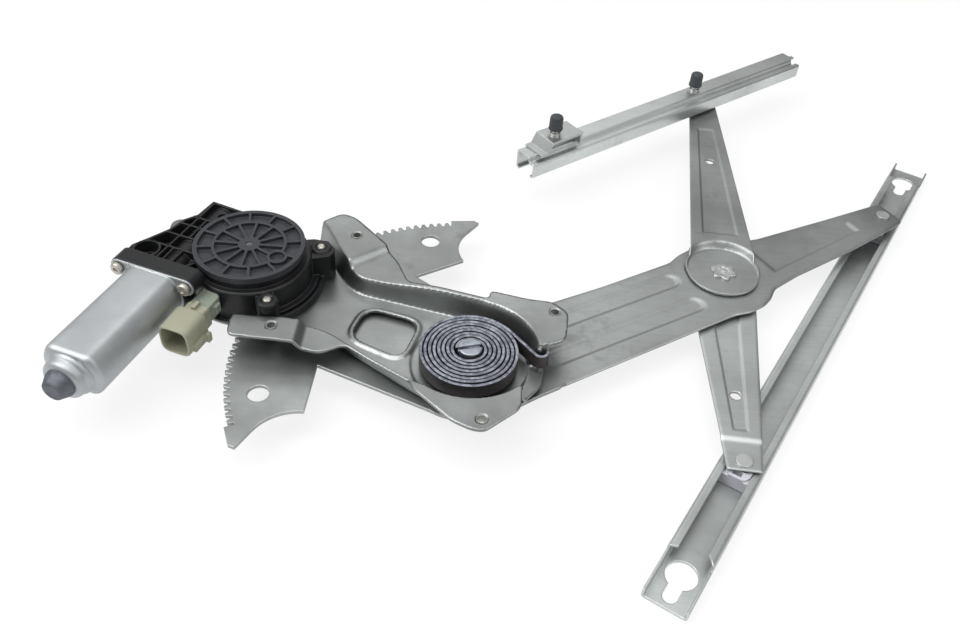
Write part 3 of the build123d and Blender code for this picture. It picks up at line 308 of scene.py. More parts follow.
def drawn_can(name):
    """Pale zinc with streaks along the motor's axis and slow dents."""
    finish = Finish(name)
    along = finish.stretched((6.0, 150.0, 150.0), math.radians(MOTOR_TURN))
    streak = finish.noise(1.0, 4.0, where=along, rough=0.6)
    cloud = finish.noise(18.0, 4.0)
    mottle = finish.noise(120.0, 3.0)
    rounded, edge = edge_wear_and_highlight(finish, 0.0014)
    tone = finish.mix(finish.band(cloud, 0.3, 0.7), (0.41, 0.43, 0.44), (0.57, 0.59, 0.60))
    tone = finish.mix((streak - 0.3) * 0.55, tone, (0.42, 0.44, 0.45))
    # Edges painted pale: partly wear, partly a painted highlight.
    tone = finish.mix(edge * 0.4, tone, (0.8, 0.81, 0.82))
    finish.set(Base_Color=tone, Metallic=1.0,
               Roughness=(0.37 + 0.12 * cloud + 0.10 * mottle + 0.10 * streak).clipped(),
               Normal=finish.bump(finish.noise(14.0, 2.0) + 0.05 * mottle, 0.0022, 0.4, rounded))
    return finish.material


FINISHES["can_steel"] = drawn_can("can_zinc")
print("can finish", FINISHES["can_steel"].name)

# %% [markdown]
# ## Moulded plastics
# A moulding takes a fine even grain from its tool. Dust settles on it, and its edges are painted pale,
# partly as rubbed by handling and partly as a painted highlight. One function covers them all, from the
# black gearbox and its greyer cover to the ivory socket, the lilac shoes and the dark caps. Only tones and
# gloss change, so they stand in one table.

# %% The moulding finish
def moulding(name, tone, dust_and_edge_tone, roughness, specular=0.5):
    """A plain tone, clouded a little, dusty and paler on edges, with a fine grained skin."""
    finish = Finish(name)
    cloud = finish.noise(24.0, 4.0)
    skin = finish.noise(900.0, 2.0)
    dust = finish.band(finish.noise(70.0, 6.0, rough=0.7), 0.52, 0.75)
    rounded, edge = edge_wear_and_highlight(finish, 0.0009)
    colour = finish.mix(cloud * 0.25, tone, shaded(tone, 0.7))
    colour = finish.mix(dust * 0.10, colour, dust_and_edge_tone)
    # Edges painted pale: partly rubbed by handling, partly a painted highlight.
    colour = finish.mix(edge * 0.5, colour, dust_and_edge_tone)
    finish.set(Base_Color=colour, Metallic=0.0, Specular_IOR_Level=specular,
               Roughness=(roughness + 0.14 * dust + 0.06 * skin - 0.06 * edge).clipped(),
               Normal=finish.bump(skin + 0.5 * cloud, 0.00025, 0.5, rounded))
    return finish.material


# slot, name, tone, tone of dust and of the edges, which is partly wear and partly a painted highlight,
# roughness, then how much it mirrors where that isn't the usual 0.5
MOULDINGS = (
    ("housing_plastic", "black_moulding", (0.009, 0.0095, 0.0105), (0.075, 0.075, 0.085), 0.38, 0.35),
    ("cover_plastic", "cover_moulding", (0.028, 0.030, 0.035), (0.12, 0.12, 0.135), 0.44, 0.42),
    ("vent_plastic", "vent_moulding", (0.13, 0.13, 0.15), (0.26, 0.26, 0.28), 0.5),
    ("connector_plastic", "ivory_moulding", (0.29, 0.29, 0.21), (0.50, 0.50, 0.40), 0.36),
    ("neck_plastic", "neck_moulding", (0.24, 0.27, 0.22), (0.42, 0.44, 0.38), 0.4),
    ("shoe_plastic", "shoe_moulding", (0.52, 0.52, 0.57), (0.72, 0.72, 0.76), 0.35),
    ("cap_plastic", "cap_moulding", (0.035, 0.042, 0.048), (0.13, 0.14, 0.15), 0.5),
    ("washer_plastic", "washer_moulding", (0.30, 0.31, 0.30), (0.5, 0.5, 0.5), 0.4),
    ("holder_plastic", "holder_moulding", (0.10, 0.06, 0.03), (0.2, 0.14, 0.1), 0.5),
    ("wheel_plastic", "wheel_moulding", (0.60, 0.58, 0.50), (0.75, 0.73, 0.66), 0.4),
    ("brush_carbon", "brush_carbon", (0.03, 0.03, 0.03), (0.1, 0.1, 0.1), 0.7),
    ("damper_rubber", "damper_rubber", (0.02, 0.02, 0.02), (0.06, 0.06, 0.06), 0.7),
    ("magnet_ferrite", "magnet_ferrite", (0.06, 0.06, 0.06), (0.14, 0.14, 0.14), 0.6))
for slot, *look in MOULDINGS:
    FINISHES[slot] = moulding(*look)
print(len(FINISHES), "finishes so far")

# %% [markdown]
# ## Small turned and staked metal
# Rivets, screws, nuts and studs are painted bright along their edges, partly as tool wear and partly as a
# painted highlight, and dull in patches between. Patches a few millimetres wide, much finer marks and the
# edge mask are enough for pieces this small, so one function and a table of tones give every metal.

# %% The bright metal finish
def turned_metal(name, tone, roughness):
    """Steel, bronze, copper or brass with fine marks and darker patches."""
    finish = Finish(name)
    patch = finish.noise(160.0, 4.0)
    fine = finish.noise(1400.0, 2.0)
    rounded, edge = edge_wear_and_highlight(finish, 0.0006)
    colour = finish.mix(finish.band(patch, 0.4, 0.72) * 0.5, tone, shaded(tone, 0.45))
    # Edges painted brighter: partly tool wear, partly a painted highlight.
    colour = finish.mix(edge * 0.5, colour, shaded(tone, 1.35))
    finish.set(Base_Color=colour, Metallic=1.0, Roughness=(roughness + 0.2 * patch + 0.1 * fine).clipped(),
               Normal=finish.bump(patch, 0.0005, 0.4, rounded))
    return finish.material


STEEL = (0.60, 0.60, 0.58)
METALS = (("nut_steel", (0.46, 0.46, 0.44), 0.38), ("axle_steel", (0.16, 0.16, 0.16), 0.4),
          ("screw_steel", (0.58, 0.56, 0.50), 0.3), ("rivet_steel", STEEL, 0.3),
          ("arbor_steel", (0.42, 0.45, 0.50), 0.34), ("pin_steel", (0.60, 0.61, 0.61), 0.3),
          ("pinion_steel", (0.4, 0.4, 0.4), 0.4), ("shaft_steel", STEEL, 0.22),
          ("core_steel", (0.3, 0.3, 0.31), 0.45), ("crossing_steel", (0.58, 0.59, 0.58), 0.3),
          ("clip_steel", (0.72, 0.73, 0.74), 0.2), ("stud_steel", (0.62, 0.62, 0.6), 0.25),
          ("bush_bronze", (0.5, 0.36, 0.2), 0.35), ("commutator_copper", (0.66, 0.34, 0.2), 0.3),
          ("blade_brass", (0.66, 0.56, 0.32), 0.25))
for slot, tone, roughness in METALS:
    FINISHES[slot] = turned_metal(slot.replace("_", "_turned_", 1), tone, roughness)
print(len(FINISHES), "finishes so far")

# %% [markdown]
# ## The spring's steel
# The balance spring is hardened strip, blued almost black in the furnace, with a brown cast on its flat
# sides, which are painted darker as shade. Its top is painted a paler bluish grey, as if lit from above, and
# its edges paler still, partly worn and partly a painted highlight.

# %% The spring finish
def blued_strip(name):
    """Dark brown sides, painted dark as shade, and a top painted a paler bluish grey as if lit from above,
    mottled and paler on its edges, partly wear and partly a painted highlight.
    """
    finish = Finish(name)
    mottle = finish.noise(260.0, 5.0, rough=0.7)
    slow = finish.noise(45.0, 4.0)
    rounded, edge = edge_wear_and_highlight(finish, 0.0007)
    # Faces pointing up take the pale tone and the rest the dark one: painted light on the top, painted shade
    # on the sides.
    facing = finish.node("ShaderNodeNewGeometry", out=NORMAL)
    top = finish.band(finish.node("ShaderNodeSeparateXYZ", {}, facing, out=2), 0.35, 0.85)
    side = finish.mix(slow, (0.040, 0.034, 0.034), (0.075, 0.066, 0.068))
    crown = finish.mix(finish.band(mottle, 0.40, 0.62), (0.13, 0.14, 0.17), (0.34, 0.36, 0.41))
    # Edges painted pale: partly wear, partly a painted highlight.
    colour = finish.mix(edge * 0.35, finish.mix(top, side, crown), (0.42, 0.43, 0.46))
    finish.set(Base_Color=colour, Metallic=0.55, Roughness=(0.36 + 0.25 * mottle).clipped(),
               Normal=finish.bump(mottle, 0.0005, 0.6, rounded))
    return finish.material


FINISHES["spring_steel"] = blued_strip("spring_blued")
print("spring finish", FINISHES["spring_steel"].name)

# %% [markdown]
# ## Surfaces from formulas
# The solids leave out what a press or a mould does best: soft bends, dished panels, tight coils. Such a
# piece is made here as a grid of points worked out in one go. Lengths are in millimetres from the pivot,
# as on a drawing, and become metres only when the mesh is made.

# %% Turning points, and the drive's place
WORM_OUT = 43.0
WORM_UP = 22.0


def polar(radius, degrees):
    """The point at a radius and an angle."""
    return radius * math.cos(math.radians(degrees)), radius * math.sin(math.radians(degrees))


def turned(points, degrees, foot):
    """Points turned about Z by an angle, then carried to a foot."""
    cosine, sine = polar(1.0, degrees)
    x, y, z = np.moveaxis(np.asarray(points, float), -1, 0)
    return np.stack((cosine * x - sine * y, sine * x + cosine * y, z), -1) + foot


DRIVE = (middle("gear_axle") - PIVOT) * 1000
DRIVE[2] = 0.0
MOTOR_FOOT = turned((0.0, WORM_OUT, WORM_UP), MOTOR_TURN, DRIVE)
print("drive", DRIVE.round(1), "motor foot", MOTOR_FOOT.round(1))

# %% Points to mesh
import bmesh

SHARP_ANGLE = math.radians(32)
BEVEL_ANGLE = math.radians(40)


def piece(name, points, faces, slot, body, closed=True, bevel=0.0, stands_for=(), finish=None):
    """A mesh from points and faces, smooth except where it turns sharply, riding on a body. Points at one
    place become one point, which closes seams and poles. A closed shape gets its faces turned outwards."""
    mesh = bpy.data.meshes.new(name)
    mesh.from_pydata((PIVOT + np.asarray(points) / 1000).tolist(), [], faces)
    shell = bmesh.new()
    shell.from_mesh(mesh)
    bmesh.ops.remove_doubles(shell, verts=shell.verts, dist=1e-6)
    if closed:
        bmesh.ops.recalc_face_normals(shell, faces=shell.faces)
    shell.to_mesh(mesh)
    shell.free()
    mesh.polygons.foreach_set("use_smooth", np.ones(len(mesh.polygons), bool))
    mesh.set_sharp_from_angle(angle=SHARP_ANGLE)
    mesh.materials.append(finish or FINISHES[slot])
    made = bpy.data.objects.new(name, mesh)
    bpy.context.scene.collection.objects.link(made)
    if bevel:
        soft = made.modifiers.new("soft_edges", "BEVEL")
        soft.width = bevel / 1000
        soft.segments = 2
        soft.limit_method = "ANGLE"
        soft.angle_limit = BEVEL_ANGLE
    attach(made, body)
    for node in stands_for:
        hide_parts(node)
    return made


def joined(shapes):
    """Several (points, faces) shapes as one, the faces of each counted on from the points before."""
    points, faces, count = [], [], 0
    for some, corners in shapes:
        points.append(np.asarray(some, float))
        faces += [[i + count for i in face] for face in corners]
        count += len(some)
    return np.concatenate(points), faces


print("mesh maker ready")

# %% Grids, prisms and strips
def grid(points, wrap_rows=False, wrap_columns=False):
    """Quads over a grid of points, joined round where a direction wraps."""
    rows, columns = points.shape[:2]
    index = np.arange(rows * columns).reshape(rows, columns)
    if wrap_rows:
        index = np.vstack((index, index[:1]))
    if wrap_columns:
        index = np.hstack((index, index[:, :1]))
    quads = np.stack((index[:-1, :-1], index[1:, :-1], index[1:, 1:], index[:-1, 1:]), -1).reshape(-1, 4)
    return points.reshape(-1, points.shape[-1]), quads.tolist()


def prism(outline, low, high):
    """An outline in the plane, raised from one level to another, with a flat face at each end."""
    flat = np.asarray(outline, float)
    count = len(flat)
    points = np.concatenate([np.column_stack((flat, np.full(count, level))) for level in (low, high)])
    ring = np.arange(count)
    walls = np.column_stack((ring, np.roll(ring, -1), np.roll(ring, -1) + count, ring + count)).tolist()
    return points, walls + [ring[::-1].tolist(), (ring + count).tolist()]


def strip(path, width, low, high, closed=False):
    """A path widened by half the width to each side. At a corner the side runs along its bisector."""
    path = np.asarray(path, float)
    run = np.diff(np.vstack((path, path[:1])) if closed else path, axis=0)
    run /= np.linalg.norm(run, axis=1)[:, None]
    before = np.roll(run, 1, axis=0) if closed else np.vstack((run[:1], run))
    after = run if closed else np.vstack((run, run[-1:]))
    lean = before + after
    lean /= (1 + (before * after).sum(axis=1))[:, None]
    side = np.column_stack((-lean[:, 1], lean[:, 0])) * width / 2
    if not closed:
        return prism(np.vstack((path - side, (path + side)[::-1])), low, high)
    count = len(path)
    rings = [np.column_stack((edge, np.full(count, level))) for edge, level in
             ((path - side, low), (path + side, low), (path + side, high), (path - side, high))]
    return grid(np.stack(rings, axis=1), True, True)


print("grids, prisms and strips ready")

# %% Turned shapes and arcs
def turned_shape(profile, at=(0, 0), steps=72, flutes=0, depth=0.0):
    """A profile of (radius, height) carried round Z. Flutes add a wave to the radius."""
    radius, height = np.array(profile, float).T
    angle = np.linspace(0, 2 * np.pi, steps, endpoint=False)
    wave = 1 + depth * np.cos(flutes * angle)
    spread = radius[:, None] * wave
    points = np.stack((at[0] + spread * np.cos(angle), at[1] + spread * np.sin(angle),
                       np.repeat(height[:, None], steps, 1)), -1)
    return grid(points, False, True)


def arc(radius, start, end, at=(0, 0), steps=24):
    """Points along a part of a circle, from one angle to another."""
    angle = np.radians(np.linspace(start, end, steps))
    return np.column_stack((at[0] + radius * np.cos(angle), at[1] + radius * np.sin(angle)))


def laid_along_x(shape):
    """A shape made round or along Z, laid so that its Z runs along X."""
    points, faces = shape
    return points[:, [2, 0, 1]], faces


def moved(shape, degrees, foot):
    """A shape with its points turned and carried."""
    return turned(shape[0], degrees, foot), shape[1]


print("turned shapes ready")

# %% [markdown]
# ## The gearbox
# The moulding holds the worm and its wheel. Round the wheel it is a plain drum. Between the drum and the
# motor it is an open lattice: thin ribs stiffen a wall better than thick plastic does, and they cool
# without sinking. Each rib is a strip along a path, so moving one is a change of two points.

# %% Sections of the can
CAN_R, CAN_FLAT = 21.8, 16.5
CAN_STEPS = 96
SOFTNESS = 26.0
BOLTS = (26.3, -26.3)
BOLT_UP = 11.0


def can_radius(angle, radius, flat):
    """The radius of a round section with two flats: a power mean of both, so the corners are soft."""
    slope = np.maximum(np.abs(np.sin(angle)), 1e-6)
    return (radius ** -SOFTNESS + (flat / slope) ** -SOFTNESS) ** (-1 / SOFTNESS)


def can_outline(grow):
    """The can's section as points of the plane, grown outwards by a length."""
    angle = np.linspace(0, 2 * np.pi, CAN_STEPS, endpoint=False)
    reach = can_radius(angle, CAN_R + grow, CAN_FLAT + grow)
    return np.column_stack((reach * np.cos(angle), reach * np.sin(angle)))


def flange_plate(start, end, grow=0.0):
    """The can's section with a round-ended strip across it, carried along the motor's axis."""
    ear = 6.5 + grow
    slot = np.vstack((arc(ear, -90, 90, (BOLTS[0], BOLT_UP)), arc(ear, 90, 270, (BOLTS[1], BOLT_UP))))
    return [laid_along_x(prism(can_outline(1.0 + grow), start, end)),
            laid_along_x(prism(slot, start + 0.02, end - 0.02))]


print("flange", np.ptp(can_outline(1.0), axis=0).round(1))

# %% Mould the drum
CASE_R = 42.5
CASE_LOW = 3.0
EARS = (18.5, 126.0, 295.3)
EAR_REACH = 49.7
EAR = ((0, 3), (7.6, 3), (7.6, 26.2), (6.6, 27.4), (4.2, 27.4), (4.0, 26.6), (0, 26.6))
WORM_BLOCK = ((34, 2), (47, 6), (55, 8), (58, 12), (59, 17), (56.5, 26), (48, 33), (34, 42))
# how far each bead stands out from the drum, its width, its two ends, and its two levels
BEADS = ((2.5, 9.0, -60, 10, 3, 6.5), (2.0, 5.0, -56, 8, 6, 10.0), (6.4, 2.4, -60, 10, 3, 8.2))
drum = [turned_shape(((0, 3), (CASE_R, 3), (CASE_R, 26.3), (41.3, 27.5), (37.6, 27.5), (37.6, 33), (0, 33)),
                     steps=128)]
drum.append(prism([polar(radius, angle) for radius, angle in WORM_BLOCK], CASE_LOW, 25.5))
for out, width, start, end, *levels in BEADS:
    drum.append(strip(arc(CASE_R + out, start, end), width, *levels))
for angle in EARS:
    ear = polar(EAR_REACH, angle)
    drum.append(turned_shape(EAR, ear, 40))
    drum.append(strip((polar(0.6 * EAR_REACH, angle), ear), 12.5, CASE_LOW, 25.2))
print("drum", len(drum), "shapes")

# %% Mould the lattice and its rim
CAN_FACE = -53.0
FLANGE = 13.0
RIB_LOW, RIB_TOP = 1.5, 12.0
LATTICE = ((-44, -24), (-44, 31), (-31, 31.5), (-21.5, 26.5), (-6, 19), (8.5, 16), (17.5, 10.2), (35.5, 9),
           (34, -18), (0, -22))
RIBS = (((-44, 9.6), (36, 8)), ((15, 13), (15, -22)), ((4.8, 16), (4.8, -22)), ((-8, 19.5), (-8, -22)),
        ((-21.4, 26), (-21.4, -24)), ((-44, 4.4), (-21.4, 4.4)), ((-44, -2.8), (-21.4, -2.8)),
        ((-41, -9.8), (-28, -19.5)), ((-8, 1.0), (15, 1.5)))
VENT = (10.5, 22.5)


def round_rib(inner, outer, at, steps):
    """A round wall: a rectangle of the two radii and the ribs' two levels, carried round Z."""
    return turned_shape(((inner, RIB_LOW), (outer, RIB_LOW), (outer, RIB_TOP), (inner, RIB_TOP),
                         (inner, RIB_LOW)), at, steps)


tray = flange_plate(CAN_FACE, CAN_FACE + FLANGE)
worm_tube = ((0, CAN_FACE), (10, CAN_FACE), (10, 34), (8, 36), (0, 36))
tray.append(laid_along_x(turned_shape(worm_tube, steps=48)))
tray.append(prism(LATTICE, -2, 2))
tray.append(strip(LATTICE, 1.8, -2, RIB_TOP, closed=True))
tray += [strip(rib, 1.6, RIB_LOW, RIB_TOP) for rib in RIBS]
tray += [round_rib(8.0, 9.8, (-30.0, 21.0), 48), round_rib(3.4, 5.0, (23, -6.5), 32)]
tray.append(strip((VENT, (8.5, 10.0)), 13.0, -4, 0.5))
tray.append(turned_shape(((0, -4), (7.6, -4), (7.6, 0.5), (0, 0.5)), VENT, 40))
box = joined([moved(s, 0, DRIVE) for s in drum] + [moved(s, MOTOR_TURN, MOTOR_FOOT) for s in tray])
piece("gearbox_moulding", *box, "housing_plastic", "root", bevel=0.45, stands_for=("gear_housing",))
cap = turned_shape(((0, 0.4), (7.4, 0.4), (7.4, 2.4), (6.6, 3.8), (4.6, 4.4), (0, 4.4)), VENT, 48)
piece("breather_cap", *moved(cap, MOTOR_TURN, MOTOR_FOOT), "vent_plastic", "root", stands_for=("vent_cap",))
print("gearbox", len(box[0]), "points,", len(RIBS), "ribs")

# %% [markdown]
# ## The motor can
# The can is one surface from its mouth to its nose. Each ring of it is a circle with two flats, and the
# flats fade out where the end turns in. The nose carries the bearing and is pressed in steps.

# %% Draw the can
CAN_LENGTH = 87.5
CAN_BEND = 5.0
NOSE_LENGTH = 9.0
NOSE = ((0.0, 16.6), (-1.4, 16.4), (-2.6, 15.6), (-3.2, 14.9), (-6.0, 14.5), (-7.6, 14.0), (-8.6, 12.9),
        (-9.0, 11.2), (-9.0, 9.0))
can_end = CAN_FACE - CAN_LENGTH
mouth = CAN_FACE - 1.0
rings = [(mouth, CAN_R, CAN_FLAT), (can_end + 30, CAN_R, CAN_FLAT)]
for angle in np.radians(np.linspace(0, 90, 9)):
    pulled = CAN_BEND * (1 - math.cos(angle))
    rings.append((can_end + CAN_BEND * (1 - math.sin(angle)), CAN_R - pulled, CAN_FLAT - pulled))
around = np.linspace(0, 2 * np.pi, CAN_STEPS, endpoint=False)
rows = [(x, can_radius(around, big, flat)) for x, big, flat in rings]
rows += [(can_end + x, np.full(CAN_STEPS, radius)) for x, radius in NOSE]
rows = [(mouth, np.zeros(CAN_STEPS))] + rows + [(can_end - NOSE_LENGTH, np.zeros(CAN_STEPS))]
can = np.stack([np.column_stack((np.full(CAN_STEPS, x), radius * np.cos(around), radius * np.sin(around)))
                for x, radius in rows])
shell = [grid(can, False, True)] + flange_plate(CAN_FACE - 1.3, CAN_FACE, -0.4)
shell = joined([moved(shape, MOTOR_TURN, MOTOR_FOOT) for shape in shell])
piece("drawn_can", *shell, "can_steel", "root", bevel=0.3, stands_for=("motor_can",))
TIP = ((0, -8.5), (10.2, -8.5), (10.3, -10.4), (9.6, -12.2), (8.0, -15.4), (7.2, -17.2), (6.4, -17.9),
       (0, -17.9))
tip = laid_along_x(turned_shape([(radius, can_end + x) for radius, x in TIP], steps=64))
piece("nose_cap", *moved(tip, MOTOR_TURN, MOTOR_FOOT), "nut_steel", "root", bevel=0.3,
      finish=turned_metal("nose_dark", (0.17, 0.18, 0.20), 0.50))
print("can", can.shape)

# %% Turn the screws
HEAD = ((0, 0), (4.6, 0), (4.6, -2.2), (3.8, -3.2), (1.9, -3.4), (1.5, -1.8), (0, -1.8))
EAR_SCREW = ((0, 24), (2.9, 24), (2.9, 27.3), (2.1, 28.2), (0, 28.4))
head = [(radius, CAN_FACE - 1.8 + x) for radius, x in HEAD]
heads = joined([laid_along_x(turned_shape(head, (across, BOLT_UP), 36)) for across in BOLTS])
piece("flange_bolts", *moved(heads, MOTOR_TURN, MOTOR_FOOT), "screw_steel", "root", bevel=0.2,
      stands_for=("flange_screws",))
tips = joined([turned_shape(EAR_SCREW, polar(EAR_REACH, angle), 32) for angle in EARS])
piece("ear_screws", *moved(tips, 0, DRIVE), "screw_steel", "root", stands_for=("housing_screws",))
print("screws", len(BOLTS) + len(EARS))

# %% [markdown]
# ## The socket
# The ivory socket is a chamfered sleeve, open towards the motor's nose, with a latch on its outer side. A
# box with a pocket cut in it would be as quick, but a loft rounds every corner as it goes: square rings run
# out along the sleeve, turn at its mouth and come back inside it.

# %% Mould the socket
SOCKET_AT = np.array((0.0, -37.5, -5.0))


def square_ring(x, half, corner, steps=48):
    """A square with rounded corners: the radius follows a power mean of its two sides."""
    angle = np.linspace(0, 2 * np.pi, steps, endpoint=False) + np.pi / 4
    reach = half * (np.abs(np.cos(angle)) ** corner + np.abs(np.sin(angle)) ** corner) ** (-1 / corner)
    return np.column_stack((np.full(steps, x), reach * np.cos(angle), reach * np.sin(angle)))


# place along the motor's axis, half width, and how square the ring is
SLEEVE = ((-57.0, 0.01, 5), (-57.0, 8.2, 8), (-64.5, 8.4, 8), (-66.0, 11.2, 5), (-67.5, 11.6, 4.4),
          (-87.0, 11.2, 4.2), (-88.0, 10.8, 4.2), (-88.0, 9.6, 4.2), (-70.0, 9.2, 4.4), (-70.0, 0.01, 4))
sleeve = np.stack([square_ring(*ring) for ring in SLEEVE])
socket = [grid(sleeve, False, True),
          prism(((-84, -13.4), (-68, -13.4), (-68, -10), (-84, -10)), -8, -3),
          prism(((-72, -15.2), (-68, -15.2), (-68, -12.5), (-72, -12.5)), -9, -2),
          prism(((-64, -1.5), (-57, -1.5), (-57, 1.5), (-64, 1.5)), 7, 11)]
socket = [(points + SOCKET_AT, faces) for points, faces in socket]
piece("ivory_socket", *moved(joined(socket), MOTOR_TURN, MOTOR_FOOT), "connector_plastic", "root", bevel=0.4,
      stands_for=("connector",))
neck = [prism(((-58, -44.5), (-44, -44.5), (-38, -38), (-30, -30), (-58, -30)), -11, 2),
        prism(((-52, -46.5), (-46, -46.5), (-46, -40), (-52, -40)), -8, -1)]
piece("socket_neck", *moved(joined(neck), MOTOR_TURN, MOTOR_FOOT), "neck_plastic", "root", bevel=0.6,
      stands_for=("connector_neck",))
print("socket rings", len(sleeve))

# %% [markdown]
# ## The balance spring
# A flat spiral takes part of the window's weight. It is one path: the radius grows evenly with the angle,
# then the strip leaves on a tangent and hooks round a lug. The section is a plain rectangle on that path,
# and the inner coils stand a little higher, as a coil that has worked loose does. The slotted arbor and
# the flat end in its slot turn with the arm, so they are pieces of their own.

# %% Coil the spring
COIL_PITCH, COIL_T, COIL_LOW, COIL_HIGH = 3.0, 2.2, 5.6, 16.4
COIL_START, COIL_OUTER, HALF_TURNS = 8.9, 34.0, 17
LEAVE = 40.0
TAIL, HOOK_R = 27.5, 4.6
swept = np.linspace(0, HALF_TURNS * 180 - LEAVE, 760)
reach = COIL_START + COIL_PITCH * swept / 360
coil = np.column_stack((reach * np.cos(np.radians(180 - swept)), reach * np.sin(np.radians(180 - swept))))
heading = LEAVE - 90
tail_end = coil[-1] + polar(TAIL, heading)
hook_at = tail_end + polar(HOOK_R, heading + 90)
hook = arc(HOOK_R, heading - 90, heading + 60, hook_at, 20)
path = np.vstack((coil, tail_end, hook[1:]))
run = np.gradient(path, axis=0)
run /= np.linalg.norm(run, axis=1)[:, None]
out = np.column_stack((run[:, 1], -run[:, 0])) * COIL_T / 2
far = np.hypot(*path.T)
crown = 1.5 * np.clip(1 - (far / COIL_OUTER) ** 2, 0, 1) + 0.25 * np.sin(3.1 * far)
crown[far > COIL_OUTER + 1] = 0
low = np.full(len(path), COIL_LOW)
ring = np.stack([np.column_stack((path + side, level)) for side, level in
                 ((-out, low), (out, low), (out, COIL_HIGH + crown), (-out, COIL_HIGH + crown))], axis=1)
points, faces = grid(ring, False, True)
last = len(points) - 4
faces += [[3, 2, 1, 0], [last, last + 1, last + 2, last + 3]]
piece("coiled_spring", points, faces, "spring_steel", "root", bevel=0.45, stands_for=("balance_spring",))
halves = [prism(arc(8.1, slit + 10, slit + 170, steps=28), 5.8, 19.6) for slit in (17.0, 197.0)]
piece("slotted_arbor", *joined(halves), "arbor_steel", "lift", bevel=0.9)
inner_end = strip(((6.6, 2.0), (-8.0, -2.45)), 2.0, 5.7, 17.6)
piece("spring_inner_end", *inner_end, "spring_steel", "lift", bevel=0.4)
print("spring", len(path), "stations, outer radius", round(float(reach[-1]), 1))

# %% [markdown]
# ## Pressed arms
# A pressed arm is a flat blank with three things done to it: its edges are rolled down, long grooves or a
# panel are pushed in, and it steps up or down where it has to pass something. All three are heights, so
# an arm is a height over a grid that runs between its two edges. Solidify gives it the sheet's thickness.

# %% Slopes and edges
def eased(value, low, high):
    """0 below low, 1 above high, an S-shaped slope between."""
    part = np.clip((value - low) / (high - low), 0, 1)
    return part * part * (3 - 2 * part)


def edge_line(stations, knots, soft=9):
    """A broken line through the knots, its corners rounded by a short moving mean."""
    x, y = np.array(knots, float).T
    fine = np.arange(x[0] - 20, x[-1] + 20, 0.5)
    kernel = np.hanning(2 * soft + 3)
    kernel /= kernel.sum()
    curve = np.pad(np.interp(fine, x, y), soft + 1, mode="edge")
    return np.interp(stations, fine, np.convolve(curve, kernel, "valid"))


def quarter_round(inset, radius):
    """How far an edge rolls down: nothing beyond the radius, a quarter circle's full drop at the edge."""
    part = np.clip((radius - inset) / radius, 0, 1)
    return 1 - np.sqrt(1 - part ** 2)


def groove(x, y, start, end, centre, half, flank):
    """1 in a long round-ended groove, from the distance to the line along its middle."""
    past = np.maximum(np.maximum(start - x, x - end), 0)
    return 1 - eased(np.hypot(past, y - centre), half - flank, half)


def panel(x, y, start, end, half_start, half_end, flank):
    """1 inside a tapered panel, from the distance to its nearest side."""
    half = half_start + (half_end - half_start) * (x - start) / (end - start)
    side = np.minimum(np.minimum(x - start, end - x), half - np.abs(y))
    return eased(side, 0, flank)


print("slopes ready")

# %% Sheets from a height
def give_wall(sheet, thickness, even):
    """The sheet's thickness, added below its upper side."""
    wall = sheet.modifiers.new("sheet_thickness", "SOLIDIFY")
    wall.thickness = thickness / 1000
    wall.offset = -1.0
    wall.use_even_offset = even


def pressed_sheet(name, along, low, high, height, thickness, slot, degrees, foot, body, node, holes=()):
    """A grid between two edges, lifted by a height formula. Points near a round hole move onto its rim,
    and the squares inside it are left out. The columns lie closer together towards the edges."""
    across = np.linspace(0, 1, 97)
    across = 0.45 * across + 0.55 * (0.5 - 0.5 * np.cos(np.pi * across))
    x = np.repeat(along[:, None], len(across), 1)
    y = low[:, None] + (high - low)[:, None] * across
    inset = np.minimum(np.minimum(y - low[:, None], high[:, None] - y),
                       np.minimum(x - along[0], along[-1] - x))
    for hole_x, radius in holes:
        gap = np.hypot(x - hole_x, y)
        near = np.abs(gap - radius) < 0.62
        scale = np.where(near, radius / np.maximum(gap, 1e-6), 1.0)
        x, y = hole_x + (x - hole_x) * scale, y * scale
    points, quads = grid(np.stack((x, y, height(x, y, inset)), -1))
    quads = np.array(quads)
    centres = points[quads].mean(axis=1)
    for hole_x, radius in holes:
        keep = np.hypot(centres[:, 0] - hole_x, centres[:, 1]) > radius - 0.05
        quads, centres = quads[keep], centres[keep]
    made = piece(name, turned(points, degrees, foot), quads.tolist(), slot, body, closed=False,
                 stands_for=(node,))
    give_wall(made, thickness, True)


print("sheet maker ready")

# %% The main arm's edges
ARM_TURN = 32.95
CROSS = 225.5
TIP_PIN = 404.5
ARM_END = TIP_PIN + 11
ARM_HUB_R = 44.5
ARM_LOW = ((0, -44.5), (30, -42), (CROSS - 22, -39.5), (CROSS - 8, -42.6), (CROSS + 6, -41.6),
           (CROSS + 17, -37.5), (CROSS + 27, -30.5), (CROSS + 55, -26.4), (TIP_PIN - 60, -22.5),
           (TIP_PIN - 18, -17.5), (TIP_PIN + 12, -13))
ARM_HIGH = ((0, 44), (50, 38), (90, 33.5), (134, 31.5), (CROSS - 27, 31.5), (CROSS - 15, 35.9),
            (CROSS - 3, 37.6), (CROSS + 12, 35.0), (CROSS + 28, 31), (CROSS + 58, 24), (TIP_PIN - 50, 18.6),
            (TIP_PIN + 12, 14.6))


def rounded_end(stations, values, end, corner):
    """Edge values pulled in to round the two corners at the end."""
    return values - np.sign(values) * corner * quarter_round(end - stations, corner)


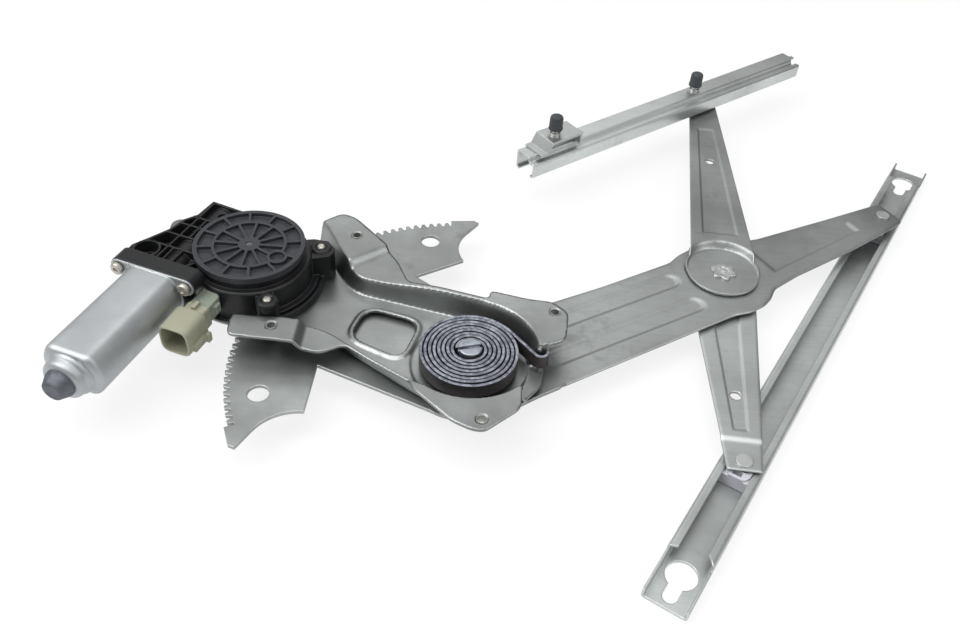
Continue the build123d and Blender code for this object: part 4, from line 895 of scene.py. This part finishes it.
stations = np.concatenate((np.linspace(-44, -30, 12), np.arange(-29, 48, 3.0),
                           np.linspace(50, TIP_PIN + 8, 236), np.linspace(TIP_PIN + 8.3, ARM_END, 10)))
hub = np.sqrt(np.maximum(ARM_HUB_R ** 2 - stations ** 2, 0.3))
low_edge, high_edge = (
    np.where(stations < 0, side * hub, rounded_end(stations, edge_line(stations, knots), ARM_END, 5))
    for side, knots in ((-1, ARM_LOW), (1, ARM_HIGH)))
print("main arm", len(stations), "stations")

# %% Press the main arm
ARM_TOP = -2.5
ARM_EDGE = 4.2
GROOVES = (13.0, -17.0)


def arm_height(x, y, inset):
    """Flat top, less two grooves and a tip panel, less a quarter round along the edges."""
    drop = 1.45 * sum(groove(x, y, 60, 184, middle_line, 9.0, 4.2) for middle_line in GROOVES)
    drop += 1.2 * panel(x, y - 0.5, CROSS + 40, TIP_PIN - 34, 17.0, 8.0, 4.0)
    return ARM_TOP - drop - 1.5 * quarter_round(inset, ARM_EDGE) * (x > 50)


pressed_sheet("pressed_arm", stations, low_edge, high_edge, arm_height, 2.4, "arm_sheet", ARM_TURN,
              (0, 0, 0), "lift", "main_arm")
print("grooves", len(GROOVES))

# %% [markdown]
# ## The two half arms
# The crossing arm can't pass through the main arm, so it is two blades, one above it and one below, held
# together by one staked rivet. The upper blade starts as a round disc under the rivet and steps up to the
# rail. The lower one narrows towards its pin and steps down to the channel.

# %% Press the upper half arm
BLADE_TURN = 87.0
CROSSING = np.array((*polar(CROSS, ARM_TURN), 0))
RAIL_PIN = 245.0
TIP_R = 12.4
BLADE_HOLE_R = 3.9
DISC_R, DISC_AT = 27.9, 2.5
BLADE_TOP, DISC_TOP = 5.8, 0.3
stations = np.concatenate((np.linspace(DISC_AT - DISC_R, DISC_AT - 22, 14), np.arange(-19, 236, 1.1),
                           np.linspace(236.5, RAIL_PIN + TIP_R, 16)))
disc_edge = np.sqrt(np.maximum(DISC_R ** 2 - (stations - DISC_AT) ** 2, 0.1))
blade_edge = 25.6 - 13.2 * stations / RAIL_PIN
tip_edge = np.sqrt(np.maximum(TIP_R ** 2 - np.maximum(stations - RAIL_PIN, 0) ** 2, 0.1))
half = np.where(stations > RAIL_PIN, np.minimum(blade_edge, tip_edge), np.maximum(disc_edge, blade_edge))
half = np.where(stations < DISC_AT, disc_edge, half)


def upper_height(x, y, inset):
    """Low on the disc, up a round step to the blade, less a tapered panel."""
    out = np.hypot(x - DISC_AT, y)
    rise = eased(out, 26.4, 31.2) * eased(x, -4, 10)
    return DISC_TOP + (BLADE_TOP - DISC_TOP) * rise - 0.8 * panel(x, y, 42, 204, 14.5, 7.6, 1.6)


pressed_sheet("upper_half_arm", stations, -half, half, upper_height, 2.0, "upper_arm_sheet", BLADE_TURN,
              CROSSING, "equaliser", "equaliser_upper_arm", holes=((149.4, BLADE_HOLE_R),))
print("upper half arm", len(stations), "stations")

# %% Press the lower half arm
CHANNEL_PIN = 179.0
LOWER_END = -CHANNEL_PIN - 8
LOWER_R = 26
LOWER_TOP = -7.0
stations = np.concatenate((np.linspace(LOWER_END, LOWER_END + 3, 6), np.arange(LOWER_END + 4, 20, 1.1),
                           np.linspace(20.4, LOWER_R, 12)))
root_edge = np.sqrt(np.maximum(LOWER_R ** 2 - np.maximum(stations, 0) ** 2, 0.1))
half = np.where(stations > 0, root_edge, edge_line(stations, ((LOWER_END, 11.6), (-34, 24), (0, LOWER_R))))
half = half - 2.0 * quarter_round(stations - LOWER_END, 2.0)


def lower_height(x, y, inset):
    """Flat, less a tapered panel, down a step near the pin, and a little down at its edges."""
    drop = 1.5 * eased(-x, CHANNEL_PIN - 19, CHANNEL_PIN - 15)
    drop += 0.8 * panel(x, y, -CHANNEL_PIN + 24, -30, 5.6, 11.0, 1.8)
    return LOWER_TOP - drop - 0.8 * quarter_round(inset, 2.4) * (x < -30)


pressed_sheet("lower_half_arm", stations, -half, half, lower_height, 2.0, "lower_arm_sheet", BLADE_TURN,
              CROSSING, "equaliser", "equaliser_lower_arm", holes=((-122.5, BLADE_HOLE_R),))
STAR = ((0, 0.2), (8.9, 0.2), (8.9, 1.6), (8.3, 2.2), (4.4, 2.2), (3.8, 1.4), (2.6, 1.4), (2.0, 2.6),
        (0, 2.9))
star = turned_shape(STAR, steps=144, flutes=6, depth=0.13)
piece("staked_star", *moved(star, BLADE_TURN + 12, CROSSING), "crossing_steel", "equaliser")
print("lower half arm", len(stations), "stations")

# %% [markdown]
# ## The base plate
# Everything hangs on one deep stamping. Its floor, walls and tabs are one sheet whose bends are round, and
# that is a height too: the wall rises with the distance from the dish's outline. A distance to an outline
# is worked out for a whole grid at once, which also tells which squares lie on the plate and where their
# corners have to move so that the cut edge is clean.

# %% Distances to outlines
def rounded(corners, radius, steps=6):
    """Each corner replaced by a curve that leaves and meets its sides at the same distance."""
    corners = np.array(corners, float)
    curve = []
    for before, corner, after in zip(np.roll(corners, 1, 0), corners, np.roll(corners, -1, 0)):
        one, two = before - corner, after - corner
        cut = min(radius, 0.45 * np.linalg.norm(one), 0.45 * np.linalg.norm(two))
        start = corner + cut * one / np.linalg.norm(one)
        end = corner + cut * two / np.linalg.norm(two)
        t = np.linspace(0, 1, steps)[:, None]
        curve.append((1 - t) ** 2 * start + 2 * t * (1 - t) * corner + t ** 2 * end)
    return np.concatenate(curve)


def gap_to(points, outline):
    """The distance of each point from an outline, negative inside it, and the nearest place on it."""
    start, end = outline, np.roll(outline, -1, 0)
    side = end - start
    away = points[:, None] - start
    part = np.clip((away * side).sum(-1) / np.maximum((side ** 2).sum(-1), 1e-9), 0, 1)
    nearest = start + part[..., None] * side
    gaps = np.hypot(*np.moveaxis(points[:, None] - nearest, -1, 0))
    best = gaps.argmin(axis=1)
    x, y = points[:, :1], points[:, 1:]
    crosses = (start[:, 1] > y) != (end[:, 1] > y)
    rise = np.where(side[:, 1] == 0, 1e-9, side[:, 1])
    inside = (crosses & (x < start[:, 0] + side[:, 0] * (y - start[:, 1]) / rise)).sum(axis=1) % 2 == 1
    picked = np.arange(len(points))
    return np.where(inside, -1, 1) * gaps[picked, best], nearest[picked, best]


print("distances ready")

# %% Outlines of the base plate
PLATE = rounded(((-162, 9.5), (-160.5, -6), (-117, -8), (-99, -12), (-83, -2.5), (-37.5, -33), (-34, -41.5),
                 (-8, -65.5), (5, -71.5), (13, -72), (35, -51), (35, -33), (49, -15), (51, 6), (64, 14),
                 (66, 40), (55, 50.5), (38, 51.5), (11, 57.5), (10, 49), (-48, 63), (-58, 86), (-69, 102),
                 (-95, 130), (-106, 134.5), (-121, 121)), 5.0)
PLATE = np.vstack((PLATE, arc(46.5, 56, 282, DRIVE[:2], 40)))
DISH = rounded(((-168, 13.5), (-120, 14.5), (-97, 9), (-32, -36), (0, -46), (20, -43), (44, -16), (46, 8),
                (34, 32), (10, 46), (-50, 59.5), (-84, 67), (-99, 89), (-118, 123), (-150, 150), (-230, 120),
                (-230, 13.5)), 9.0)
WINDOW = rounded(((-75, 46), (-37, 36), (-46, 0), (-83, 17)), 11.0)
NUT_PLACES = ((-91.4, 109.1), (-133.3, 5.4), (56.4, 40.2), (10.9, -62.9))
NUT_HOLE_R = 3.6
print("outlines", len(PLATE), len(DISH), len(WINDOW))

# %% The height of the base plate
FLOOR_TOP, TAB_TOP, STEP_TOP = 3.0, 20.0, 15.2
POCKET_R = 46.0
LEG_HEADING = -51


def plate_height(points):
    """Floor, wall and tab as one slope of the distance from the dish, which is open beside the arm, with
    the legs' two steps, a rim round the window and a shallow seat under the spring."""
    x, y = points.T
    reach = np.hypot(x, y)
    out = np.minimum(gap_to(points, DISH)[0], reach - POCKET_R)
    along = points @ polar(1.0, LEG_HEADING)
    top = STEP_TOP + (TAB_TOP - STEP_TOP) * eased(x, -75, -20)
    top += (TAB_TOP - STEP_TOP) * np.where(y < 40, eased(-x, 110, 117.5), eased(-along, 115, 122))
    bearing = np.degrees(np.arctan2(y, x))
    opening = eased(bearing, -44, -36) * (1 - eased(bearing, 2, 9)) * (reach > 30)
    height = FLOOR_TOP + (top - FLOOR_TOP) * eased(out, -5.6, 0.6) * (1 - opening)
    edge = gap_to(points, WINDOW)[0]
    height += 1.5 * eased(edge, -0.4, 1.2) * (1 - eased(edge, 2.6, 5.2))
    return height - 0.9 * (1 - eased(reach, 38.5, 40.5))


print("floor", FLOOR_TOP, "tabs", TAB_TOP)

# %% Cut the blank out of a grid
flat, quads = grid(np.stack(np.meshgrid(np.arange(-208.0, 70), np.arange(-76.0, 138), indexing="ij"), -1))
quads = np.array(quads)
outside, rim_place = gap_to(flat, PLATE)
in_window, window_place = gap_to(flat, WINDOW)
on_plate = (outside < 0.45) & (in_window > -0.45)
for place in NUT_PLACES:
    on_plate &= np.hypot(*(flat - place).T) > NUT_HOLE_R - 0.45
quads = quads[on_plate[quads].all(axis=1)]
sides = np.sort(np.concatenate([quads[:, [i, (i + 1) % 4]] for i in range(4)]), axis=1)
edges, uses = np.unique(sides, axis=0, return_counts=True)
border = np.unique(edges[uses == 1])
snapped = flat.copy()
for gap, nearest in ((outside, rim_place), (in_window, window_place)):
    near = border[np.abs(gap[border]) < 1.6]
    snapped[near] = nearest[near]
for place in NUT_PLACES:
    off = flat[border] - place
    gap = np.hypot(*off.T)
    near = gap < NUT_HOLE_R + 1.6
    snapped[border[near]] = place + off[near] * NUT_HOLE_R / gap[near][:, None]
print(len(quads), "squares,", len(border), "points on the cut edges")

# %% Stamp the base plate
used, packed = np.unique(quads, return_inverse=True)
plate_points = np.column_stack((snapped[used], plate_height(snapped[used])))
stamping = piece("stamped_plate", plate_points, packed.reshape(-1, 4).tolist(), "base_sheet", "root",
                 closed=False, stands_for=("base_plate",))
give_wall(stamping, 1.9, False)
lug = strip((hook_at + (-1.5, -1.0), hook_at + (1.5, 7.0)), 2.6, 2.5, 19.0)
piece("spring_lug", *lug, "base_sheet", "root", bevel=0.5)
print("plate", len(used), "points")

# %% [markdown]
# ## Stud caps
# The soft caps on the two studs have a ribbed side, so that fingers can pull them off, and a rounded top.
# One profile carried round gives both, with a wave on its radius for the ribs.

# %% Mould the caps
CAP = ((0, 1.0), (5.9, 1.0), (6.0, 2.2), (5.6, 3.0), (5.5, 11.0), (4.9, 12.6), (3.6, 13.4), (0, 13.6))
cap = turned_shape(CAP, steps=96, flutes=16, depth=0.03)
for name, node in (("ribbed_cap_one", "bracket_stud_cap"), ("ribbed_cap_two", "rail_stud_cap")):
    foot = (middle(node) - PIVOT) * 1000
    foot[2] = (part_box(node)[0][2] - PIVOT[2]) * 1000
    piece(name, *moved(cap, 0, foot), "cap_plastic", "rail", stands_for=(node,))
print("caps moulded")

# %% [markdown]
# ## Dress the solids
# Each solid names the slot that its finish comes from, so one loop dresses them all and stops if a slot
# was forgotten.

# %% Put the finishes on
for entry in frame["record"]["subparts"]:
    solid = solids[entry["node"]]
    finish = FINISHES[entry["material_slot"]]
    if not solid.material_slots:
        solid.data.materials.append(finish)
    for place in solid.material_slots:
        place.material = finish

# %% [markdown]
# ## Floor and light
# The studio floor is white card, and behind it the camera sees a plain white room. The light that falls on
# the metal comes from a grey dome, darkest just above the horizon and bright overhead, and from four large
# soft lamps. An even white dome would be simpler, but zinc would mirror it everywhere and lose its form.

# %% Lay the floor
FLOOR_HALF = 4.0
FLOOR_GAP = 0.0006  # just under the solids, so that no face lies in the floor


def white_card():
    """Pale card that the lamps light, mixed with a white glow where the camera or a reflection sees it."""
    finish = Finish("floor_card")
    finish.set(Base_Color=(0.86, 0.86, 0.86), Roughness=0.8)
    glow = finish.node("ShaderNodeEmission", {}, (1, 1, 1, 1), 1.0)
    seen, mirrored, through = (finish.node("ShaderNodeLightPath", out=way) for way in (0, 3, 6))
    white = (seen * 0.8 + mirrored * 0.6 + through * 0.8).clipped()
    lit = Wire(finish, finish.shader.outputs[0])
    surface = finish.node("ShaderNodeMixShader", {}, white, lit, glow)
    finish.feed(next(n for n in finish.tree.nodes if n.type == "OUTPUT_MATERIAL").inputs["Surface"], surface)
    return finish.material


floor_mesh = bpy.data.meshes.new("floor")
corners = FLOOR_HALF * np.array(((-1, -1, 0), (1, -1, 0), (1, 1, 0), (-1, 1, 0))) - (0, 0, FLOOR_GAP)
floor_mesh.from_pydata(corners.tolist(), [], [(0, 1, 2, 3)])
floor = bpy.data.objects.new("floor", floor_mesh)
floor_mesh.materials.append(white_card())
bpy.context.scene.collection.objects.link(floor)
print("floor", 2 * FLOOR_HALF, "m wide")

# %% Light the room
world = bpy.data.worlds.new("room")
bpy.context.scene.world = world
world.use_nodes = True
room = Finish("room", world.node_tree)
facing = room.node("ShaderNodeTexCoord", out=0)
across, up = (room.node("ShaderNodeSeparateXYZ", {}, facing, out=axis) for axis in (0, 2))
SKY = ((0.0, 0.42), (0.46, 0.42), (0.58, 0.24), (0.84, 0.58), (0.93, 1.00), (1.0, 1.40))
tone = room.node("ShaderNodeValToRGB", {"stops": SKY}, up * 0.5 + 0.5)
slow = room.noise(1.7, 1.0, where=facing)
dome = room.node("ShaderNodeBackground", {}, tone, (0.4 + 1.2 * slow) * (1 - 0.62 * across))
clear = room.node("ShaderNodeBackground", {}, (1, 1, 1, 1), 1.0)
seen = room.node("ShaderNodeLightPath", out=0)
room.node("ShaderNodeOutputWorld", {}, room.node("ShaderNodeMixShader", {}, seen, dome, clear))
print("room lit by a dome")

# %% Hang the lamps
def soft_lamp(name, at, aim, size, power):
    """A rectangular lamp at a place, turned to face a point: its own Z runs from the point to the lamp."""
    data = bpy.data.lights.new(name, "AREA")
    data.shape = "RECTANGLE"
    data.size, data.size_y = size
    data.energy = power
    lamp = bpy.data.objects.new(name, data)
    away = np.array(at, float) - np.array(aim, float)
    away /= np.linalg.norm(away)
    side = np.cross((0, 0, 1.0), away)
    side /= np.linalg.norm(side)
    lamp.matrix_world = placed(side, np.cross(away, side), away, at)
    bpy.context.scene.collection.objects.link(lamp)


soft_lamp("lamp_left", (-1.3, -0.5, 1.5), (0, 0, 0), (1.0, 1.0), 15.0)
soft_lamp("lamp_right", (1.4, -0.7, 1.2), (0, 0, 0), (0.8, 1.2), 9.0)
soft_lamp("lamp_back", (-0.2, 1.7, 1.5), (0, 0.1, 0), (1.4, 0.5), 3.0)
soft_lamp("lamp_top", (-0.2, -0.35, 1.8), (0, 0, 0), (1.5, 0.8), 10.0)
